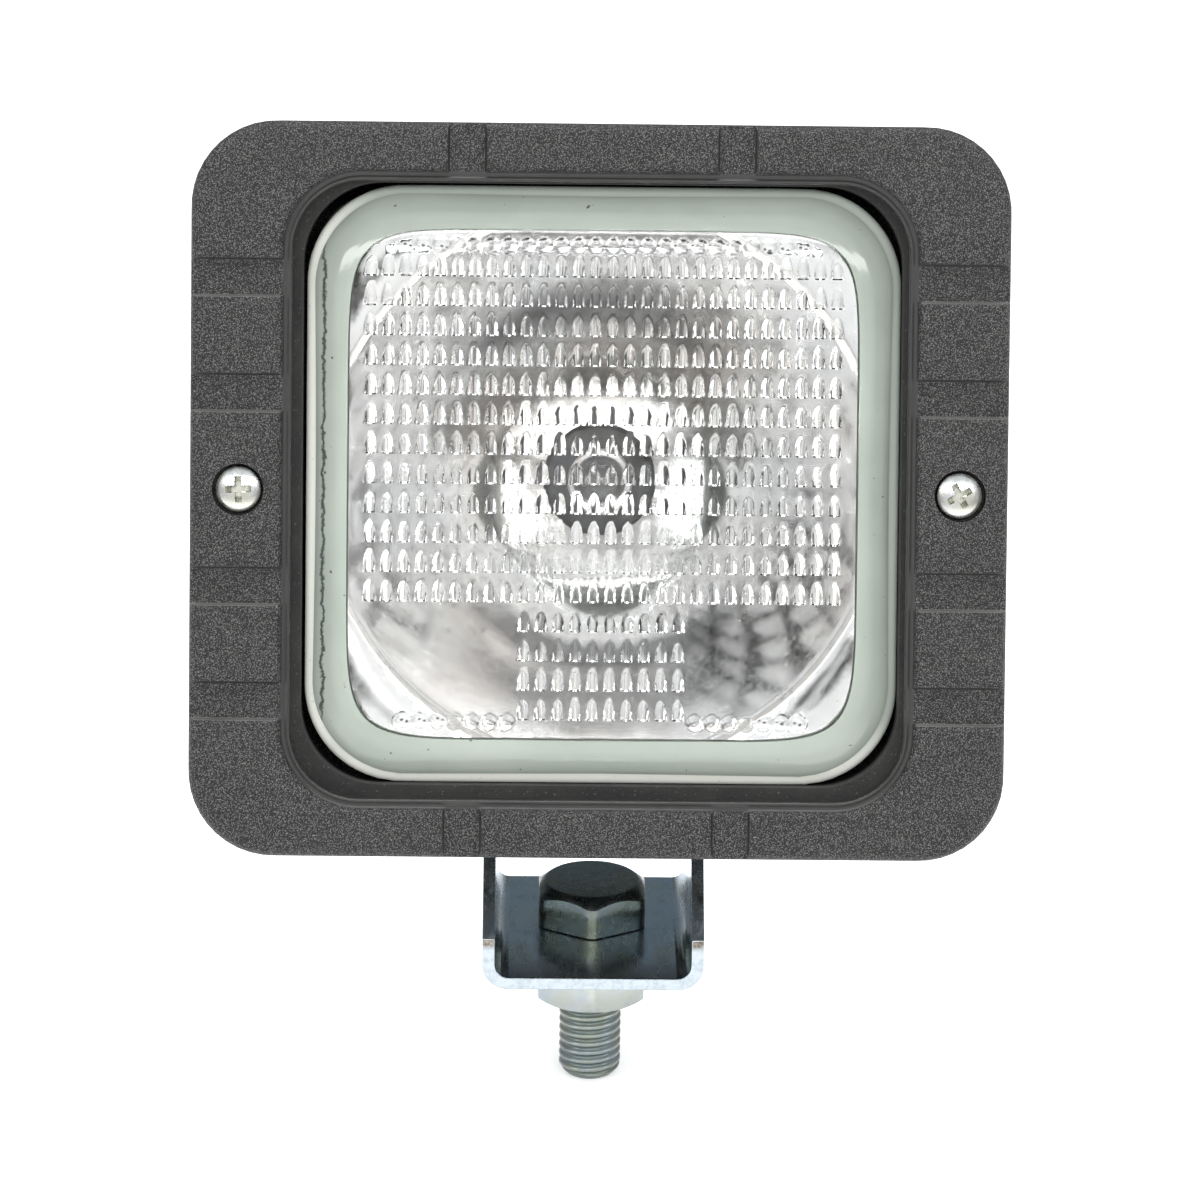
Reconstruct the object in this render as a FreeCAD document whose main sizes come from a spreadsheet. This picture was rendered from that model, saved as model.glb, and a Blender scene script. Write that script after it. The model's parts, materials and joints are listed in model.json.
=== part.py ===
"""Square halogen fog and work lamp on a swivelling U-bracket, as a parametric document.

Millimetres. Row frame: +Z up along the mounting bolt, +X to the right seen from the front and +Y towards
the back. The origin is on the mounting bolt's axis, in the plane of the mounting nut's underside.

The lamp head is drawn in its own frame: x right, y up the lens, z out through the lens, with the origin in
the middle of the bezel's front face. head_place tilts that frame back about the pivot and lifts it there.
"""
import FreeCAD
import Part
import Sketcher
import math
import os

Vector = FreeCAD.Vector
X_AXIS = Vector(1, 0, 0)
Y_AXIS = Vector(0, 1, 0)
Z_AXIS = Vector(0, 0, 1)
ORIGIN = Vector(0, 0, 0)
WELD = 0.01  # small overlap that joins two features, and the tolerance for finding edges
HEX_CORNERS = 6

# a hexagon's corner bevel starts and ends at these shares of the distance across its flats
BEVEL_START = 0.475
BEVEL_END = 0.62

doc = FreeCAD.newDocument("fog_light")
sheet = doc.addObject("Spreadsheet::Sheet", "sizes")

SIZES = {
    # mounting bolt, M10
    "thread_radius": 5.0,
    "thread_mid_radius": 4.6,
    "shank_radius": 4.97,
    "thread_free_length": 13.7,
    "thread_tip_chamfer": 1.2,
    "bolt_across_flats": 17.0,
    "bolt_head_height": 6.4,
    "nut_height": 8.0,
    "nut_countersink_radius": 5.4,
    "nut_countersink_depth": 0.8,
    "spring_washer_radius": 8.0,
    "spring_washer_height": 2.0,
    "spring_washer_slit": 1.2,
    "flat_washer_radius": 10.0,
    "flat_washer_height": 1.5,
    "washer_bore_radius": 5.25,
    "joint_gap": 0.1,
    # U-bracket, bent from strip
    "strip_thickness": 2.0,
    "bracket_width": 34.8,
    "bracket_front": 24.0,
    "bracket_back": 16.0,
    "bracket_bend_radius": 2.2,
    "bracket_front_upright": 6.5,
    "bracket_bore_radius": 5.05,
    "ear_radius": 10.0,
    # tilt pivot, M6
    "pivot_back": 6.0,
    "pivot_rise": 21.0,
    "pivot_bolt_radius": 3.0,
    "pivot_hole_radius": 3.2,
    "pivot_across_flats": 10.0,
    "pivot_head_height": 4.0,
    "pivot_nut_height": 6.0,
    "pivot_nut_collar_height": 1.8,
    "pivot_nut_collar_radius": 4.4,
    "pivot_tip_chamfer": 0.6,
    "pivot_thread_past_nut": 2.0,
    "pivot_washer_radius": 6.0,
    "pivot_washer_height": 1.2,
    "sleeve_radius": 4.5,
    "sleeve_bore_radius": 3.06,
    "lug_clearance": 0.3,
    "lug_radius": 9.0,
    "lug_root_height": 19.0,
    # pivot seen from the head's own frame
    "pivot_drop": 47.8,
    "pivot_depth": 40.2,
    "tilt_angle": 17.5,
    # bezel
    "bezel_width": 125.0,
    "bezel_height": 112.3,
    "bezel_corner": 13.0,
    "bezel_depth": 12.0,
    "bezel_edge_round": 1.6,
    "bezel_face": 4.6,
    "bezel_skirt": 2.6,
    "opening_width": 94.1,
    "opening_height": 94.5,
    "opening_corner": 10.7,
    "lip_width": 1.3,
    "band_depth": 0.8,
    "band_width": 5.7,
    "side_band_near": 14.75,
    "side_band_far": 32.3,
    "end_band": 20.55,
    "collar_wall": 2.0,
    "collar_depth": 9.0,
    "gasket_seat": 4.2,
    "gasket_wall": 1.8,
    "screw_offset": 55.1,
    "screw_recess_radius": 3.95,
    "screw_recess_depth": 3.2,
    "screw_hole_radius": 2.1,
    # housing
    "housing_wall": 2.0,
    "housing_fit": 0.3,
    "housing_rim_front": 6.2,
    "housing_rim_back": 14.0,
    "bowl_width": 98.0,
    "bowl_height": 76.0,
    "bowl_corner": 30.0,
    "bowl_depth": 30.0,
    "waist_width": 78.0,
    "waist_height": 62.0,
    "waist_corner": 26.0,
    "waist_depth": 50.0,
    "cap_width": 52.0,
    "cap_height": 46.0,
    "cap_corner": 16.0,
    "cap_depth": 70.0,
    "housing_boss_radius": 3.5,
    "housing_boss_depth": 21.0,
    "rib_spacing": 30.0,
    "rib_width": 3.0,
    "rib_reach": 4.4,
    "rib_depth": 1.4,
    # lens, reflector and their seals
    "glass_width": 91.8,
    "glass_height": 92.2,
    "glass_corner": 12.0,
    "glass_recess": 6.6,
    "glass_field": 78.1,
    "glass_field_corner": 7.0,
    "glass_slope": 1.6,
    "glass_thickness": 3.2,
    "glass_side": 0.4,
    "glass_rise": 0.9,
    "gasket_fit": 0.1,
    "gasket_back": 13.0,
    "sealant_height": 0.8,
    "sealant_width": 2.2,
    "sealant_inset": 1.4,
    "reflector_wall": 1.2,
    "mouth_radius": 43.5,
    "reflector_depth": 34.0,
    "bulb_hole_radius": 9.0,
    # bulb, its holder, clip and leads
    "filament_reach": 18.0,
    "bulb_flange_radius": 11.0,
    "bulb_flange_height": 1.2,
    "bulb_collar_radius": 8.2,
    "bulb_collar_height": 3.4,
    "bulb_barrel_radius": 7.0,
    "bulb_barrel_height": 5.0,
    "capsule_radius": 5.2,
    "capsule_wall": 0.9,
    "capsule_length": 24.0,
    "filament_length": 5.0,
    "filament_radius": 0.6,
    "filament_wire_radius": 0.25,
    "filament_support_offset": 2.25,
    "holder_width": 34.0,
    "holder_height": 31.0,
    "holder_corner": 4.0,
    "holder_plate": 1.2,
    "clip_wire_radius": 0.6,
    "clip_half_width": 8.0,
    "clip_half_height": 13.4,
    "clip_tail": 4.5,
    "clip_bend": 1.8,
    "hook_width": 2.4,
    "lead_radius": 1.1,
    "lead_bend": 3.2,
    "lead_turn_height": 3.36,
    "earth_tab_x": 12.5,
    "earth_tab_y": 9.0,
    "terminal_x": 4.6,
    "terminal_y": 10.0,
    # socket at the back
    "socket_width": 22.0,
    "socket_height": 14.0,
    "socket_corner": 2.5,
    "socket_wall": 1.6,
    "socket_depth": 11.0,
    "socket_flange_margin": 3.0,
    "socket_flange_height": 1.6,
    "socket_spigot_margin": 1.0,
    "socket_spigot_height": 7.0,
    "socket_seal_height": 0.8,
    "blade_width": 6.3,
    "blade_thickness": 0.8,
    "blade_reach": 9.5,
    "blade_tail": 2.0,
    # bezel screws
    "screw_head_radius": 3.6,
    "screw_head_height": 2.6,
    "screw_head_round": 1.3,
    "screw_shank_radius": 1.9,
    "screw_length": 14.0,
    "screw_tip_height": 2.4,
    "screw_tip_radius": 0.38,
    "cross_length": 4.2,
    "cross_width": 1.0,
    "cross_depth": 1.5,
    "cross_turn_left": 2.0,
    "cross_turn_right": 28.0,
}


class Size:
    """A length that carries its value together with the sheet expression that drives it."""

    def __init__(self, text, value):
        self.text = text
        self.value = value

    def combine(self, sign, other, value):
        text = other.text if isinstance(other, Size) else repr(float(other))
        return Size("(" + self.text + " " + sign + " " + text + ")", value)

    def __add__(self, other):
        return self.combine("+", other, self.value + number(other))

    def __sub__(self, other):
        return self.combine("-", other, self.value - number(other))

    def __mul__(self, other):
        return self.combine("*", other, self.value * number(other))

    def __truediv__(self, other):
        return self.combine("/", other, self.value / number(other))

    def __neg__(self):
        return Size("(0 - " + self.text + ")", -self.value)


def number(item):
    return item.value if isinstance(item, Size) else float(item)


def size(alias):
    """The sheet's cell of that name, as a Size."""
    return Size("sizes." + alias, SIZES[alias])


ZERO = Size("0", 0.0)


def fill_sheet():
    for row, (alias, value) in enumerate(SIZES.items(), start=1):
        cell = "B" + str(row)
        sheet.set("A" + str(row), alias)
        sheet.set(cell, str(value))
        sheet.setAlias(cell, alias)
    doc.recompute()


def bind(item, name, length):
    """Drive one property of a document object from the sheet."""
    if isinstance(length, Size):
        item.setExpression(name, length.text)
    else:
        setattr(item, name, length)


def new_body(name):
    body = doc.addObject("PartDesign::Body", name)
    body.Label = name
    return body


def new_sketch(body, name, role="XY_Plane", depth=None, shift=None, turn=0.0):
    """A sketch on one of its body's origin planes, set back by depth along the plane's normal."""
    sketch = body.newObject("Sketcher::SketchObject", name)
    plane = [item for item in body.Origin.OriginFeatures if item.Role == role][0]
    sketch.AttachmentSupport = [(plane, "")]
    sketch.MapMode = "FlatFace"
    sketch.AttachmentOffset = FreeCAD.Placement(ORIGIN, FreeCAD.Rotation(Z_AXIS, turn))
    if depth is not None:
        sketch.setExpression(".AttachmentOffset.Base.z", (-depth).text)
    if shift is not None:
        sketch.setExpression(".AttachmentOffset.Base.x", shift[0].text)
        sketch.setExpression(".AttachmentOffset.Base.y", shift[1].text)
    return sketch


def constrain(sketch, kind, *arguments):
    """Add a constraint; when its last argument is a Size, the sheet drives it."""
    length = arguments[-1]
    if not isinstance(length, Size):
        return sketch.addConstraint(Sketcher.Constraint(kind, *arguments))
    index = sketch.addConstraint(Sketcher.Constraint(kind, *arguments[:-1], length.value))
    sketch.setExpression("Constraints[" + str(index) + "]", length.text)
    return index


def hold_point(sketch, geometry, end, x, y):
    """Fix one end of a curve at x, y from the sketch's origin."""
    if number(x) == 0:
        constrain(sketch, "PointOnObject", geometry, end, -2)
    else:
        constrain(sketch, "DistanceX", -1, 1, geometry, end, x)
    if number(y) == 0:
        constrain(sketch, "PointOnObject", geometry, end, -1)
    else:
        constrain(sketch, "DistanceY", -1, 1, geometry, end, y)


def draw_polygon(sketch, corners):
    """A closed outline of straight edges through corners given as pairs of Size or 0."""
    first = sketch.GeometryCount
    points = [Vector(number(x), number(y), 0) for x, y in corners]
    count = len(points)
    for index, point in enumerate(points):
        sketch.addGeometry(Part.LineSegment(point, points[(index + 1) % count]))
    for index, (x, y) in enumerate(corners):
        following = first + (index + 1) % count
        constrain(sketch, "Coincident", first + index, 2, following, 1)
        hold_point(sketch, first + index, 1, x, y)
    return sketch


def draw_rectangle(sketch, width, height, x=0, y=0):
    """A rectangle centred on x, y."""
    left = -(width / 2) + x
    right = width / 2 + x
    low = -(height / 2) + y
    high = height / 2 + y
    return draw_polygon(sketch, [(left, low), (right, low), (right, high), (left, high)])


def draw_circle(sketch, radius, x=0, y=0):
    centre = Vector(number(x), number(y), 0)
    index = sketch.addGeometry(Part.Circle(centre, Z_AXIS, radius.value))
    hold_point(sketch, index, 3, x, y)
    constrain(sketch, "Radius", index, radius)
    return sketch


def draw_hexagon(sketch, across_flats, turn=0.0):
    """A regular hexagon, its first corner turned from the x axis by turn degrees."""
    reach = across_flats / (2 * math.cos(math.pi / HEX_CORNERS))
    corners = []
    for index in range(HEX_CORNERS):
        angle = math.radians(turn + 360.0 * index / HEX_CORNERS)
        across = round(math.cos(angle), 9)
        up = round(math.sin(angle), 9)
        corners.append((reach * across if across else 0, reach * up if up else 0))
    return draw_polygon(sketch, corners)


def draw_rounded(sketch, width, height, radius):
    """A rectangle with round corners, centred on the sketch's origin."""
    first = sketch.GeometryCount
    half_x = width.value / 2
    half_y = height.value / 2
    rim = radius.value
    inner_x = half_x - rim
    inner_y = half_y - rim
    sides = [
        (Vector(-inner_x, -half_y, 0), Vector(inner_x, -half_y, 0)),
        (Vector(half_x, -inner_y, 0), Vector(half_x, inner_y, 0)),
        (Vector(inner_x, half_y, 0), Vector(-inner_x, half_y, 0)),
        (Vector(-half_x, inner_y, 0), Vector(-half_x, -inner_y, 0)),
    ]
    centres = [
        Vector(inner_x, -inner_y, 0),
        Vector(inner_x, inner_y, 0),
        Vector(-inner_x, inner_y, 0),
        Vector(-inner_x, -inner_y, 0),
    ]
    for index in range(4):
        start = (index - 1) * math.pi / 2
        circle = Part.Circle(centres[index], Z_AXIS, rim)
        sketch.addGeometry(Part.LineSegment(*sides[index]))
        sketch.addGeometry(Part.ArcOfCircle(circle, start, start + math.pi / 2))
    for index in range(4):
        line = first + 2 * index
        arc = line + 1
        following = first + (2 * index + 2) % 8
        constrain(sketch, "Tangent", line, 2, arc, 1)
        constrain(sketch, "Tangent", arc, 2, following, 1)
        if index:
            constrain(sketch, "Equal", first + 1, arc)
    constrain(sketch, "Horizontal", first)
    constrain(sketch, "Horizontal", first + 4)
    constrain(sketch, "Vertical", first + 2)
    constrain(sketch, "Vertical", first + 6)
    constrain(sketch, "Symmetric", first, 1, first + 4, 1, -1, 1)
    constrain(sketch, "DistanceX", first + 6, 1, first + 2, 1, width)
    constrain(sketch, "DistanceY", first, 1, first + 4, 1, height)
    constrain(sketch, "Radius", first + 1, radius)
    return sketch


def pad(body, sketch, length, back=True, both=False):
    """Extrude a sketch; back goes against the plane's normal, both goes half each way."""
    feature = body.newObject("PartDesign::Pad", sketch.Name + "_pad")
    feature.Profile = sketch
    bind(feature, "Length", length)
    feature.Reversed = back
    feature.Midplane = both
    body.Tip = feature
    return feature


def pocket(body, sketch, length=None, forward=False, both=False):
    """Cut a sketch out against the plane's normal; without a length it goes right through."""
    feature = body.newObject("PartDesign::Pocket", sketch.Name + "_cut")
    feature.Profile = sketch
    if length is None:
        feature.Type = "ThroughAll"
    else:
        bind(feature, "Length", length)
    feature.Reversed = forward
    feature.Midplane = both
    body.Tip = feature
    return feature


def revolve(body, sketch):
    """Turn a half profile about the sketch's vertical axis."""
    feature = body.newObject("PartDesign::Revolution", sketch.Name + "_turned")
    feature.Profile = sketch
    feature.ReferenceAxis = (sketch, ["V_Axis"])
    feature.Angle = 360.0
    body.Tip = feature
    return feature


def groove(body, sketch):
    """Cut a half profile out all round the sketch's vertical axis."""
    feature = body.newObject("PartDesign::Groove", sketch.Name + "_groove")
    feature.Profile = sketch
    feature.ReferenceAxis = (sketch, ["V_Axis"])
    feature.Angle = 360.0
    body.Tip = feature
    return feature


def loft(body, sketches, cut=False):
    kind = "PartDesign::SubtractiveLoft" if cut else "PartDesign::AdditiveLoft"
    feature = body.newObject(kind, sketches[0].Name + "_loft")
    feature.Profile = sketches[0]
    feature.Sections = sketches[1:]
    body.Tip = feature
    return feature


def round_edges(body, radius, chosen):
    """Fillet the edges of the body's last feature that the chosen test accepts."""
    doc.recompute()
    base = body.Tip
    names = ["Edge" + str(n) for n, edge in enumerate(base.Shape.Edges, start=1) if chosen(edge)]
    feature = body.newObject("PartDesign::Fillet", base.Name + "_round")
    feature.Base = (base, names)
    bind(feature, "Radius", radius)
    body.Tip = feature
    return feature


def edge_lies(edge, axis, value):
    """Whether every end and the middle of an edge have that coordinate."""
    points = [vertex.Point for vertex in edge.Vertexes] + [edge.valueAt(edge.FirstParameter)]
    return all(abs(point[axis] - value) < WELD for point in points)


def edge_lies_along(edge, axis, offset):
    """Whether a straight edge runs along that axis, offset to either side of the middle plane."""
    ends = [vertex.Point for vertex in edge.Vertexes]
    along = abs(abs(ends[0][axis] - ends[1][axis]) - edge.Length) < WELD
    return along and abs(abs(ends[0].x) - offset) < WELD


def rounded_path(points, radius):
    """A wire of straight runs joined by tangent arcs of one radius."""
    edges = []
    start = points[0]
    for before, corner, after in zip(points, points[1:], points[2:]):
        into = (corner - before).normalize()
        out = (after - corner).normalize()
        turn = into.getAngle(out)
        trim = radius * math.tan(turn / 2)
        arc_start = corner - into * trim
        arc_end = corner + out * trim
        bisector = (out - into).normalize()
        centre = corner + bisector * (radius / math.cos(turn / 2))
        arc_middle = centre - bisector * radius
        if (arc_start - start).Length > WELD:
            edges.append(Part.LineSegment(start, arc_start).toShape())
        edges.append(Part.Arc(arc_start, arc_middle, arc_end).toShape())
        start = arc_end
    edges.append(Part.LineSegment(start, points[-1]).toShape())
    return Part.Wire(edges)


def wire_solid(points, wire_radius, bend_radius):
    """A round wire along a path of runs and bends; its volume is checked against its length."""
    path = rounded_path(points, bend_radius)
    heading = (points[1] - points[0]).normalize()
    section = Part.Wire([Part.Circle(points[0], heading, wire_radius).toShape()])
    solid = path.makePipeShell([section], True, True)
    expected = math.pi * wire_radius**2 * path.Length
    if abs(solid.Volume - expected) > 0.02 * expected:
        raise RuntimeError("swept wire has the wrong volume")
    return solid


def new_feature(name, shape, place=None):
    """A sub-part whose shape is worked out here from the sheet's sizes."""
    feature = doc.addObject("Part::Feature", name)
    feature.Label = name
    feature.Shape = shape
    if place is not None:
        feature.Placement = place
    return feature


def ring_on(body, name, outer, inner, length, depth=None, shift=None, back=True):
    """A flat ring between two circles."""
    sketch = new_sketch(body, name, depth=depth, shift=shift)
    draw_circle(sketch, outer)
    draw_circle(sketch, inner)
    return pad(body, sketch, length, back=back)


def frame_on(body, name, outer, inner, length, depth=None, shift=None):
    """A flat frame between two round-cornered rectangles, each given as width, height, corner."""
    sketch = new_sketch(body, name, depth=depth, shift=shift)
    draw_rounded(sketch, *outer)
    draw_rounded(sketch, *inner)
    return pad(body, sketch, length)


def grown(outline, margin):
    """A round-cornered outline moved out by margin all round."""
    width, height, corner = outline
    return (width + margin * 2, height + margin * 2, corner + margin)


def turned(body, name, profile):
    sketch = new_sketch(body, name, role="XZ_Plane")
    draw_polygon(sketch, profile)
    return revolve(body, sketch)


def bevel_corners(body, name, across_flats, top, bottom=None):
    """The turned bevel on a hexagon's upper, and if given lower, corners."""
    flat = across_flats * BEVEL_START
    clear = across_flats * BEVEL_END
    fall = clear - flat
    sketch = new_sketch(body, name, role="XZ_Plane")
    draw_polygon(sketch, [(flat, top), (clear, top), (clear, top - fall)])
    if bottom is not None:
        draw_polygon(sketch, [(flat, bottom), (clear, bottom + fall), (clear, bottom)])
    return groove(body, sketch)


fill_sheet()

# heights along the mounting bolt
spring_washer_seat = size("nut_height")
flat_washer_seat = spring_washer_seat + size("spring_washer_height")
plate_bottom = flat_washer_seat + size("flat_washer_height") + size("joint_gap")
plate_top = plate_bottom + size("strip_thickness")
bolt_head_seat = plate_top + size("joint_gap")
pivot_height = plate_top + size("pivot_rise")

pivot_point = Vector(0, number(size("pivot_back")), number(pivot_height))
pivot_in_head = Vector(0, -number(size("pivot_drop")), -number(size("pivot_depth")))
head_turn = FreeCAD.Rotation(X_AXIS, 90.0 - number(size("tilt_angle")))
head_place = FreeCAD.Placement(pivot_point - head_turn.multVec(pivot_in_head), head_turn)
along_x = FreeCAD.Rotation(Y_AXIS, 90.0)
pivot_place = FreeCAD.Placement(pivot_point, along_x)


# --- mounting stud -------------------------------------------------------------------------------

def make_mounting_bolt():
    body = new_body("mounting_bolt")
    head = new_sketch(body, "bolt_head", depth=-bolt_head_seat)
    draw_hexagon(head, size("bolt_across_flats"), turn=-90.0)
    pad(body, head, size("bolt_head_height"), back=False)
    bolt_top = bolt_head_seat + size("bolt_head_height")
    bevel_corners(body, "bolt_bevel", size("bolt_across_flats"), bolt_top)
    shank = size("shank_radius")
    thread = size("thread_radius")
    core = size("thread_mid_radius")
    tip = thread - size("thread_tip_chamfer")
    end = -size("thread_free_length")
    profile = [
        (0, bolt_head_seat + WELD),
        (shank, bolt_head_seat + WELD),
        (shank, spring_washer_seat),
        (core, spring_washer_seat),
        (core, 0),
        (thread, 0),
        (thread, end + size("thread_tip_chamfer")),
        (tip, end),
        (0, end),
    ]
    turned(body, "bolt_shank", profile)
    return body


def make_mounting_nut():
    body = new_body("mounting_nut")
    hexagon = new_sketch(body, "nut_hexagon")
    draw_hexagon(hexagon, size("bolt_across_flats"), turn=-90.0)
    pad(body, hexagon, size("nut_height"), back=False)
    bevel_corners(body, "nut_bevel", size("bolt_across_flats"), size("nut_height"), ZERO)
    bore = new_sketch(body, "nut_bore")
    draw_circle(bore, size("thread_mid_radius"))
    pocket(body, bore, size("nut_height"), forward=True)
    countersink = new_sketch(body, "nut_countersink", role="XZ_Plane")
    core = size("thread_mid_radius")
    mouth = size("nut_countersink_radius")
    draw_polygon(countersink, [(core, ZERO), (mouth, ZERO), (core, size("nut_countersink_depth"))])
    groove(body, countersink)
    return body


def make_spring_washer():
    body = new_body("spring_washer")
    ring_on(
        body,
        "spring_washer_ring",
        size("spring_washer_radius"),
        size("washer_bore_radius"),
        size("spring_washer_height"),
        depth=-spring_washer_seat,
        back=False,
    )
    slit = new_sketch(body, "spring_washer_slit", depth=-spring_washer_seat)
    reach = size("spring_washer_radius")
    draw_rectangle(slit, reach, size("spring_washer_slit"), -reach)
    pocket(body, slit, size("spring_washer_height"), forward=True)
    return body


def make_flat_washer():
    body = new_body("flat_washer")
    ring_on(
        body,
        "flat_washer_ring",
        size("flat_washer_radius"),
        size("washer_bore_radius"),
        size("flat_washer_height"),
        depth=-flat_washer_seat,
        back=False,
    )
    return body


# --- bracket -------------------------------------------------------------------------------------

def make_bracket_channel():
    """The bent U, seen from the front, run from its front edge to its back edge."""
    body = new_body("bracket_channel")
    half = size("bracket_width") / 2
    inside = half - size("strip_thickness")
    top = pivot_height + size("ear_radius")
    corners = [
        (-half, plate_bottom),
        (half, plate_bottom),
        (half, top),
        (inside, top),
        (inside, plate_top),
        (-inside, plate_top),
        (-inside, top),
        (-half, top),
    ]
    sketch = new_sketch(body, "bracket_section", role="XZ_Plane", depth=-size("bracket_front"))
    draw_polygon(sketch, corners)
    pad(body, sketch, size("bracket_front") + size("bracket_back"))
    bends = (
        (size("bracket_bend_radius"), number(plate_top), number(inside)),
        (size("bracket_bend_radius") + size("strip_thickness"), number(plate_bottom), number(half)),
    )
    for radius, height, across in bends:
        round_edges(
            body,
            radius,
            lambda edge: edge_lies(edge, 2, height) and edge_lies_along(edge, 1, across),
        )
    bore = new_sketch(body, "bracket_bore")
    draw_circle(bore, size("bracket_bore_radius"))
    pocket(body, bore, forward=True)
    return body


def make_bracket_side():
    """The arms' outline seen from the side: upright front, slope, round ear, straight back."""
    body = new_body("bracket_side")
    sketch = new_sketch(body, "bracket_side_outline", role="YZ_Plane")
    front = -number(size("bracket_front"))
    back = number(size("bracket_back"))
    low = number(plate_bottom)
    knee = number(plate_top + size("bracket_front_upright"))
    ear = number(size("ear_radius"))
    centre = Vector(pivot_point.y, pivot_point.z, 0)
    reach = Vector(front, knee, 0) - centre
    lean = math.atan2(reach.y, reach.x) - math.acos(ear / reach.Length)
    touch = centre + Vector(math.cos(lean), math.sin(lean), 0) * ear
    circle = Part.Circle(centre, Z_AXIS, ear)
    sketch.addGeometry(Part.LineSegment(Vector(front, low, 0), Vector(front, knee, 0)))
    sketch.addGeometry(Part.LineSegment(Vector(front, knee, 0), touch))
    sketch.addGeometry(Part.ArcOfCircle(circle, 0.0, lean % (2 * math.pi)))
    sketch.addGeometry(Part.LineSegment(Vector(back, centre.y, 0), Vector(back, low, 0)))
    sketch.addGeometry(Part.LineSegment(Vector(back, low, 0), Vector(front, low, 0)))
    constrain(sketch, "Coincident", 0, 2, 1, 1)
    constrain(sketch, "Tangent", 1, 2, 2, 2)
    constrain(sketch, "Tangent", 2, 1, 3, 1)
    constrain(sketch, "Coincident", 3, 2, 4, 1)
    constrain(sketch, "Coincident", 4, 2, 0, 1)
    constrain(sketch, "Vertical", 0)
    constrain(sketch, "Horizontal", 4)
    constrain(sketch, "Vertical", 3)
    constrain(sketch, "Radius", 2, size("ear_radius"))
    hold_point(sketch, 2, 3, size("pivot_back"), pivot_height)
    hold_point(sketch, 0, 1, -size("bracket_front"), plate_bottom)
    constrain(sketch, "DistanceY", -1, 1, 1, 1, plate_top + size("bracket_front_upright"))
    pad(body, sketch, size("bracket_width") * 2, both=True)
    hole = new_sketch(body, "pivot_hole", role="YZ_Plane")
    draw_circle(hole, size("pivot_hole_radius"), size("pivot_back"), pivot_height)
    pocket(body, hole, size("bracket_width") * 2, both=True)
    return body


def make_bracket():
    bracket = doc.addObject("Part::Common", "bracket")
    bracket.Label = "bracket"
    bracket.Base = make_bracket_channel()
    bracket.Tool = make_bracket_side()
    return bracket


def make_pivot_bolt():
    body = new_body("pivot_bolt")
    seat = size("bracket_width") / 2 + size("pivot_washer_height")
    head = new_sketch(body, "pivot_head", depth=-seat)
    draw_hexagon(head, size("pivot_across_flats"))
    pad(body, head, size("pivot_head_height"), back=False)
    bevel_corners(body, "pivot_head_bevel", size("pivot_across_flats"), seat + size("pivot_head_height"))
    radius = size("pivot_bolt_radius")
    end = -(seat + size("pivot_nut_height") + size("pivot_thread_past_nut"))
    chamfer = size("pivot_tip_chamfer")
    profile = [
        (0, seat + WELD),
        (radius, seat + WELD),
        (radius, end + chamfer),
        (radius - chamfer, end),
        (0, end),
    ]
    turned(body, "pivot_shank", profile)
    body.Placement = pivot_place
    return body


def make_pivot_nut():
    """A locking nut: a hexagon with a round collar over its plastic insert."""
    body = new_body("pivot_nut")
    seat = size("bracket_width") / 2 + size("pivot_washer_height")
    collar = seat + size("pivot_nut_height") - size("pivot_nut_collar_height")
    hexagon = new_sketch(body, "pivot_nut_hexagon", depth=seat)
    draw_hexagon(hexagon, size("pivot_across_flats"))
    pad(body, hexagon, collar - seat)
    bevel_corners(body, "pivot_nut_bevel", size("pivot_across_flats"), -seat, -collar)
    round_collar = new_sketch(body, "pivot_nut_collar", depth=collar - WELD)
    draw_circle(round_collar, size("pivot_nut_collar_radius"))
    pad(body, round_collar, size("pivot_nut_collar_height") + WELD)
    bore = new_sketch(body, "pivot_nut_bore", depth=seat)
    draw_circle(bore, size("pivot_bolt_radius"))
    pocket(body, bore, size("pivot_nut_height"))
    body.Placement = pivot_place
    return body


def make_pivot_washer(name, seat):
    body = new_body(name)
    ring_on(
        body,
        name + "_ring",
        size("pivot_washer_radius"),
        size("pivot_hole_radius"),
        size("pivot_washer_height"),
        depth=-seat,
        back=False,
    )
    body.Placement = pivot_place
    return body


# --- lamp head: bezel, housing and seals ----------------------------------------------------------

bezel_outline = (size("bezel_width"), size("bezel_height"), size("bezel_corner"))
opening_outline = (size("opening_width"), size("opening_height"), size("opening_corner"))
glass_outline = (size("glass_width"), size("glass_height"), size("glass_corner"))
rim_outline = grown(bezel_outline, -size("bezel_skirt") - size("housing_fit"))
glass_shift = (size("glass_side"), size("glass_rise"))


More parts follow.
